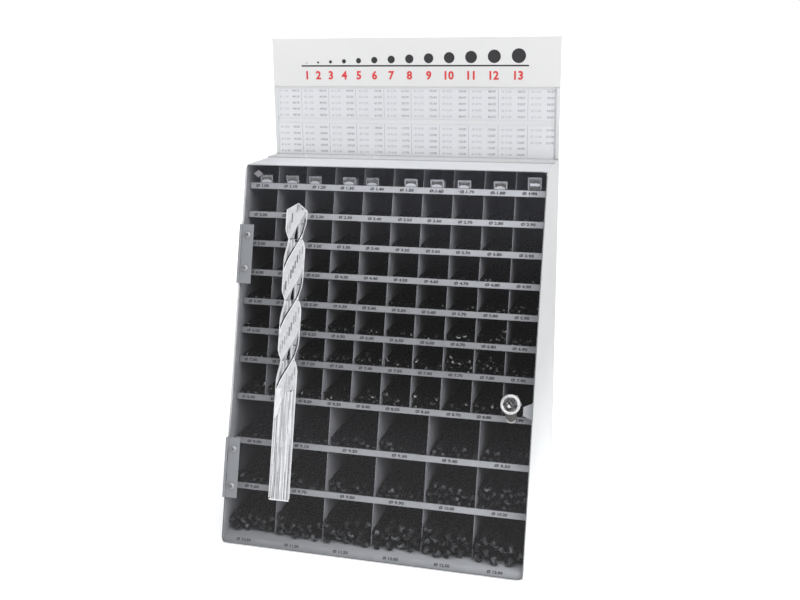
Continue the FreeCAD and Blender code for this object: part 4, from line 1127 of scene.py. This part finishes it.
def fill(span, s_high, s_low, mat, layer=0, step=1.0):
    """span(s) gives the left and right edges (-1..1 of the radius) of a patch of ink, or None."""
    run = []
    count = max(2, int((s_high - s_low) / step) + 1)
    z0 = INK_N + 0.035 * layer
    for k in range(count):
        at_s = s_high - (s_high - s_low) * k / (count - 1)
        got = span(at_s)
        if got and got[1] - got[0] > 0.012:
            run.append((DX + R0 * got[0], DX + R0 * got[1], at_s))
        else:
            ribbon(run, z0, z0 + 0.03, mat)
            run = []
    ribbon(run, z0, z0 + 0.03, mat)


def seg(at_s):
    for k in range(4):
        if at_s <= WAIST[k] and at_s > WAIST[k + 1]:
            return k, (WAIST[k] - at_s) / (WAIST[k] - WAIST[k + 1])
    return 3, 1.0


def smooth(x):
    x = max(0.0, min(1.0, x))
    return x * x * (3 - 2 * x)


def right_edge(k, t):
    w = 1.0
    if t < 0.16:
        w = 0.66 + 0.34 * math.sqrt(max(t, 0.0) / 0.16)
    elif t > 0.68 and k < 3:
        w = 1.0 - 0.34 * smooth((t - 0.68) / 0.32)
    return w


def left_edge(k, t):
    w = 1.0
    if t < 0.36:
        w = 0.66 + 0.34 * smooth(0.12 + 0.88 * t / 0.36)
    elif t > 0.84 and k < 3:
        w = 1.0 - 0.34 * ((t - 0.84) / 0.16) ** 1.2
    return w


def tip_span(at_s):
    """the two slopes of the point"""
    d = TIP - at_s
    return 0.08 - d / 7.8 * 0.93, 0.10 + d / 9.8 * 0.90


def bounds_u(at_s):
    k, t = seg(at_s)
    lo, hi = -left_edge(k, t), right_edge(k, t)
    if at_s > TIP - 12.0:
        a, b = tip_span(at_s)
        lo, hi = max(lo, a), min(hi, b)
    return lo, hi


def ang(deg):
    """sine of an angle on the front half, or the silhouette side that it has gone round"""
    if deg <= -90.0:
        return -1.5
    if deg >= 90.0:
        return 1.5
    return math.sin(math.radians(deg))


def margin(t):
    return 24.0 - 180.0 * t


RUNOUT = [(1.0, 208.0), (0.45, 206.5), (-0.05, 203.5), (-0.35, 189.0), (-0.7, 172.0), (-1.0, 164.0)]


def stave_top(u):
    for (u0, s0), (u1, s1) in zip(RUNOUT[:-1], RUNOUT[1:]):
        if u >= u1:
            return s0 + (s1 - s0) * (u0 - u) / (u0 - u1)
    return RUNOUT[-1][1]


def runout_u(at_s):
    if at_s >= RUNOUT[0][1]:
        return 1.5
    for (u0, s0), (u1, s1) in zip(RUNOUT[:-1], RUNOUT[1:]):
        if at_s >= s1:
            return u0 + (u1 - u0) * (s0 - at_s) / (s0 - s1)
    return -1.5


def clip(lo, hi, at_s):
    a, b = bounds_u(at_s)
    lo, hi = max(lo, a), min(hi, b)
    return (lo, hi) if hi > lo else None


def flute_span(at_s):
    k, t = seg(at_s)
    lo = ang(margin(t))
    hi = ang(margin(t) + 124.0) if k < 3 else runout_u(at_s)
    if k == 0 and at_s > TIP - 9.5:
        hi = min(hi, 0.30)
    return clip(lo, hi, at_s)


def upper_flute_span(at_s):
    k, t = seg(at_s)
    if k == 0:
        return None
    return clip(-1.5, ang(margin(t) - 56.0), at_s)


def gap_wide(deg):
    return 0.135 + 0.11 * smooth((deg - 35.0) / 40.0)


def old_land_span(at_s):
    """the land above the flute, left of its margin line"""
    k, t = seg(at_s)
    if k == 0:
        return None
    m = margin(t)
    if m <= -90.0:
        return None
    return clip(ang(m - 56.0), ang(m) - gap_wide(m), at_s)


def new_land_span(at_s):
    """the land below the flute, out to the right-hand outline"""
    k, t = seg(at_s)
    if k == 3:
        return None
    m = margin(t) + 180.0
    hi = ang(m) - gap_wide(m) if m < 90.0 else 1.5
    if hi > 1.0:
        hi = right_edge(k, t) - 0.085 - (0.10 * smooth((t - 0.45) / 0.2) if m < 100 else 0.0)
    return clip(ang(m - 56.0), hi, at_s)


def slit_parts(span_fn, s_high, s_low):
    """a land patch, cut by the open slit that runs down its middle"""
    def left(at_s):
        got = span_fn(at_s)
        if not got:
            return None
        sl = slit(at_s)
        return (got[0], min(got[1], sl[0])) if sl else got

    def rest(at_s):
        got = span_fn(at_s)
        sl = slit(at_s)
        if not got or not sl:
            return None
        return (max(got[0], sl[1]), got[1])
    fill(left, s_high, s_low, 1)
    fill(rest, s_high, s_low, 1)


def slit(at_s):
    k, t = seg(at_s)
    if k > 0 and t < 0.05:
        q = (t + 0.26) / 0.31
    elif k < 3 and t > 0.74:
        q = (t - 0.74) / 0.31
    else:
        return None
    c = 0.12 - 0.10 * q
    h = 0.02 + 0.13 * smooth(q * 1.4)
    return c - h, c + h


def outline(side):
    def span(at_s):
        lo, hi = bounds_u(at_s)
        return (lo, lo + 0.085) if side < 0 else (hi - 0.085, hi)
    return span


fill(flute_span, TIP - 0.05, 168.0, 0)
fill(upper_flute_span, WAIST[1], 200.0, 0)
slit_parts(old_land_span, WAIST[1], 190.0)
slit_parts(new_land_span, TIP - 9.5, WAIST[3])
fill(outline(-1), TIP - 0.05, END + 3.0, 3, 1)
fill(outline(1), TIP - 0.05, END + 3.0, 3, 1)
# the bright line along each margin
for k in range(1, 4):
    fill(lambda q: clip(ang(margin(seg(q)[1])), ang(margin(seg(q)[1])) + 0.10, q) if seg(q)[0] == k else None, WAIST[k] - 0.01, WAIST[k + 1], 3, 1)
    fill(lambda q: clip(ang(margin(seg(q)[1]) + 180) - 0.02, ang(margin(seg(q)[1]) + 180) + 0.10, q) if seg(q)[0] == k - 1 and margin(seg(q)[1]) + 180 < 90 else None,
         min(WAIST[k - 1], TIP - 10) - 0.01, WAIST[k] + 0.01, 3, 1)
# and along the heel of each flute
for k in range(0, 3):
    fill(lambda q: clip(ang(margin(seg(q)[1]) + 124) - 0.07, ang(margin(seg(q)[1]) + 124), q) if seg(q)[0] == k and margin(seg(q)[1]) + 124 < 90 else None,
         min(WAIST[k], TIP - 10) - 0.01, WAIST[k + 1] + 0.01, 0, 1)
# a bright streak beside the open slit
for k in range(0, 3):
    hi_s = WAIST[k] - 0.72 * (WAIST[k] - WAIST[k + 1])
    fill(lambda q: (lambda g: (max(g[0], 0.30), min(g[1], 0.40)) if g else None)(new_land_span(q)), hi_s, WAIST[k + 1] + 0.5, 0, 2)
    for c, tone in ((0.56, 4), (0.72, 0), (0.84, 4)):
        fill(lambda q: (lambda g: (max(g[0], c - 0.045), min(g[1], c + 0.045)) if g else None)(new_land_span(q)), hi_s - 5.0 * c, WAIST[k + 1] + 4.0 + 18.0 * (c - 0.5), tone, 2)
# left of each margin line: a broad bright border and a few streaks
for k in range(1, 4):
    h = WAIST[k] - WAIST[k + 1]
    fill(lambda q: (lambda g: (g[0], min(g[1], g[0] + 0.20)) if g else None)(old_land_span(q)), WAIST[k] - 0.02 * h, WAIST[k] - 0.46 * h, 0, 2)
    for c, a0, a1, tone in ((-0.50, 0.10, 0.30, 4), (-0.36, 0.02, 0.24, 0), (-0.22, 0.06, 0.20, 4), (-0.62, 0.20, 0.40, 2), (-0.08, 0.0, 0.12, 0)):
        fill(lambda q: (lambda g: (max(g[0], c - 0.05), min(g[1], c + 0.05)) if g else None)(old_land_span(q)), WAIST[k] - a0 * h, WAIST[k] - a1 * h, tone, 3)
# the last white sweep above the shank
fill(lambda q: clip(max(-0.93, ang(margin(seg(q)[1])) + 0.12), min(runout_u(q), -0.42 - 0.10 * math.sin(q * 0.35)), q), 208.0, 170.0, 3, 1)
for c, up, tone in ((-0.12, 17.0, 4), (0.02, 24.0, 4), (0.14, 13.0, 0), (0.22, 20.0, 4), (0.40, 9.0, 4), (0.62, 6.0, 4)):
    fill(lambda q: (c - 0.03, c + 0.03), stave_top(c) + up, stave_top(c) - 1.0, tone, 3)
# streaks in the flutes: short staves set in a slanting row
rs = random.Random(23)
for k in range(0, 4):
    h = WAIST[k] - WAIST[k + 1]
    for j in range(9):
        u = 0.72 - 0.19 * j + rs.uniform(-0.03, 0.03)
        mid = 0.17 + 0.083 * j + rs.uniform(-0.02, 0.02)
        half = rs.uniform(0.055, 0.085)
        if k == 0 and mid < 0.62 or k == 3 and mid > 0.40:
            continue
        wide = rs.uniform(0.045, 0.07)
        tone = 1 if rs.random() < 0.5 else 2
        fill(lambda q: (lambda g: (max(g[0], u - wide), min(g[1], u + wide)) if g else None)(flute_span(q)),
             WAIST[k] - (mid - half) * h, WAIST[k] - (mid + half) * h, 4 if tone == 1 else 2, 2)
# the point: a dark chisel line, a small open corner and a grey face
fill(lambda q: (-0.025, 0.04), TIP - 2.0, TIP - 11.5, 2, 2)
fill(lambda q: (-0.11, -0.07), TIP - 9.0, TIP - 15.0, 4, 2)
fill(lambda q: (0.34 + 0.045 * (TIP - 5.6 - q), 0.44 + 0.085 * (TIP - 5.6 - q)), TIP - 5.6, TIP - 8.6, 2, 3)
fill(lambda q: (0.26 + 0.03 * (TIP - 9.6 - q), right_edge(0, seg(q)[1]) - 0.085), TIP - 9.6, TIP - 11.4, 0, 2)
fill(lambda q: (0.05, min(tip_span(q)[1], 0.98)), TIP - 0.2, TIP - 9.6, 0, 0)
# shank: long staves, white, grey and open
u = -0.915
k = 0
STAVES = [(0.12, 5), (0.08, 3), (0.05, 2), (0.12, 5), (0.05, 1), (0.12, 3), (0.10, 5), (0.05, 4), (0.13, 5), (0.10, 3), (0.05, 4), (0.16, 0), (0.12, 3), (0.05, 1), (0.12, 5), (0.13, 3), (0.06, 4), (0.13, 5)]
scale = 1.83 / sum(w for w, _ in STAVES)
for w, tone in STAVES:
    w *= scale
    if tone is not None:
        top = stave_top(u + w / 2) + rs.uniform(-2.0, 2.0)
        lean = rs.uniform(-0.02, 0.02)
        fill(lambda q: (u + lean * (top - q) / 60.0, u + w - 0.006 + lean * (top - q) / 60.0), top, END + 1.0, tone, 0, 6.0)
        if rs.random() < 0.75:
            c, h, d = rs.uniform(END + 25, top - 20), rs.uniform(14, 32), rs.uniform(-0.03, 0.03)
            fill(lambda q: (u + w * 0.5 + d - 0.045 * (1 - ((q - c) / h) ** 2), u + w * 0.5 + d + 0.045 * (1 - ((q - c) / h) ** 2)), min(c + h, top - 1), max(c - h, END + 3.0), 3 if tone in (1, 4, 5, 2) else 5, 1, 3.0)
    u += w
fill(lambda q: (-1.0 + max(0.0, (END + 1.2 - q)) / 12.0, 1.0 - max(0.0, (END + 1.2 - q)) / 12.0), END + 1.7, END, 3, 2, 0.3)
drill_print = pr.build("drill_print", [M["ink_w"], M["ink_g"], M["ink_d"], M["ink_b"], M["ink_m"], M["ink_s"]], DOOR)
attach(drill_print, "door")
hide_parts("drill_decal")

# ------------------------------------------------------------------ stage, light, camera
floor_me = bpy.data.meshes.new("stage_floor")
bmf = bmesh.new()
bmesh.ops.create_grid(bmf, x_segments=16, y_segments=16, size=40.0)
bmf.to_mesh(floor_me)
bmf.free()
floor = bpy.data.objects.new("stage_floor", floor_me)
SCENE.collection.objects.link(floor)
m, nt, b = new_mat("stage_pale")
co = obj_coord(nt)
nt.links.new(ramp(nt, noise(nt, co, 2.0, 2.0), [(0.3, (0.955, 0.955, 0.955)), (0.7, (0.965, 0.965, 0.965))]), b.inputs["Base Color"])
b.inputs["Roughness"].default_value = 0.9
b.inputs["Emission Color"].default_value = (1, 1, 1, 1)
b.inputs["Emission Strength"].default_value = 0.26
floor_me.materials.append(m)

world = bpy.data.worlds.new("studio")
SCENE.world = world
world.use_nodes = True
wt = world.node_tree
for n in list(wt.nodes):
    wt.nodes.remove(n)
wo = wt.nodes.new("ShaderNodeOutputWorld")
bg_light = wt.nodes.new("ShaderNodeBackground")
bg_view = wt.nodes.new("ShaderNodeBackground")
bg_view.inputs["Color"].default_value = (1, 1, 1, 1)
bg_view.inputs["Strength"].default_value = 1.0
tc = wt.nodes.new("ShaderNodeTexCoord")
sep = wt.nodes.new("ShaderNodeSeparateXYZ")
wt.links.new(tc.outputs["Generated"], sep.inputs[0])
cr = wt.nodes.new("ShaderNodeValToRGB")
cr.color_ramp.elements[0].position = 0.0
cr.color_ramp.elements[0].color = (0.345, 0.345, 0.35, 1)
cr.color_ramp.elements[1].position = 0.74
cr.color_ramp.elements[1].color = (0.62, 0.62, 0.63, 1)
for at, c in ((0.11, (0.375, 0.37, 0.385)), (0.155, (0.36, 0.355, 0.375)), (0.195, (0.225, 0.225, 0.23)), (0.23, (0.16, 0.16, 0.163)), (0.285, (0.15, 0.15, 0.153)),
              (0.31, (0.17, 0.17, 0.18)), (0.338, (0.25, 0.25, 0.27)), (0.365, (0.33, 0.335, 0.38)), (0.395, (0.35, 0.355, 0.41)), (0.46, (0.26, 0.265, 0.28))):
    e = cr.color_ramp.elements.new(at)
    e.color = c + (1,)
wt.links.new(sep.outputs["Z"], cr.inputs["Fac"])
wt.links.new(cr.outputs["Color"], bg_light.inputs["Color"])
bg_light.inputs["Strength"].default_value = 1.0
lp = wt.nodes.new("ShaderNodeLightPath")
mixw = wt.nodes.new("ShaderNodeMixShader")
wt.links.new(lp.outputs["Is Camera Ray"], mixw.inputs["Fac"])
wt.links.new(bg_light.outputs[0], mixw.inputs[1])
wt.links.new(bg_view.outputs[0], mixw.inputs[2])
wt.links.new(mixw.outputs[0], wo.inputs["Surface"])


def soft_sun(name, azim, elev, strength, width, color=(1, 1, 1)):
    """Even soft light from one direction: azimuth 0 is straight in front of the case, positive to the right."""
    li = bpy.data.lights.new(name, "SUN")
    li.energy = strength * math.pi
    li.angle = math.radians(width)
    li.color = color
    ob = bpy.data.objects.new(name, li)
    a, e = math.radians(azim), math.radians(elev)
    d = Vector((math.sin(a) * math.cos(e), -math.cos(a) * math.cos(e), math.sin(e)))
    ob.rotation_euler = (-d).to_track_quat("-Z", "Y").to_euler()
    ob.location = d * 3.0
    SCENE.collection.objects.link(ob)
    return ob


soft_sun("softbox_right", 62, 32, 0.68, 40)
soft_sun("softbox_top", 10, 76, 0.42, 50)
li = bpy.data.lights.new("softbox_low_right", "AREA")
li.shape = "RECTANGLE"
li.size = 0.07
li.size_y = 0.25
li.energy = 0.20
low = bpy.data.objects.new("softbox_low_right", li)
low.location = (0.30, 0.0, 0.045)
low.rotation_euler = (0.0, math.radians(90), 0.0)
low.visible_camera = False
low.visible_glossy = False
low.visible_transmission = False
SCENE.collection.objects.link(low)

cam_d = bpy.data.cameras.new("photo_camera")
cam_d.lens = 47.098
cam_d.sensor_width = 36.0
cam_d.sensor_fit = "HORIZONTAL"
cam_d.clip_start = 0.05
cam_d.clip_end = 50.0
cam = bpy.data.objects.new("photo_camera", cam_d)
az, el, ro = math.radians(15.968), math.radians(15.143), math.radians(-0.844)
back = Vector((math.sin(az) * math.cos(el), -math.cos(az) * math.cos(el), math.sin(el)))
fwd = -back
right = fwd.cross(Vector((0, 0, 1))).normalized()
up = right.cross(fwd)
c_, s_ = math.cos(ro), math.sin(ro)
r2 = c_ * right + s_ * up
u2 = -s_ * right + c_ * up
cam.matrix_world = Matrix(((r2.x, u2.x, back.x, 0.375045), (r2.y, u2.y, back.y, -1.262897), (r2.z, u2.z, back.z, 0.666745), (0, 0, 0, 1)))
SCENE.collection.objects.link(cam)
SCENE.camera = cam

SCENE.view_settings.view_transform = "Standard"
SCENE.view_settings.look = "None"
SCENE.view_settings.exposure = 0.0
SCENE.view_settings.gamma = 1.0
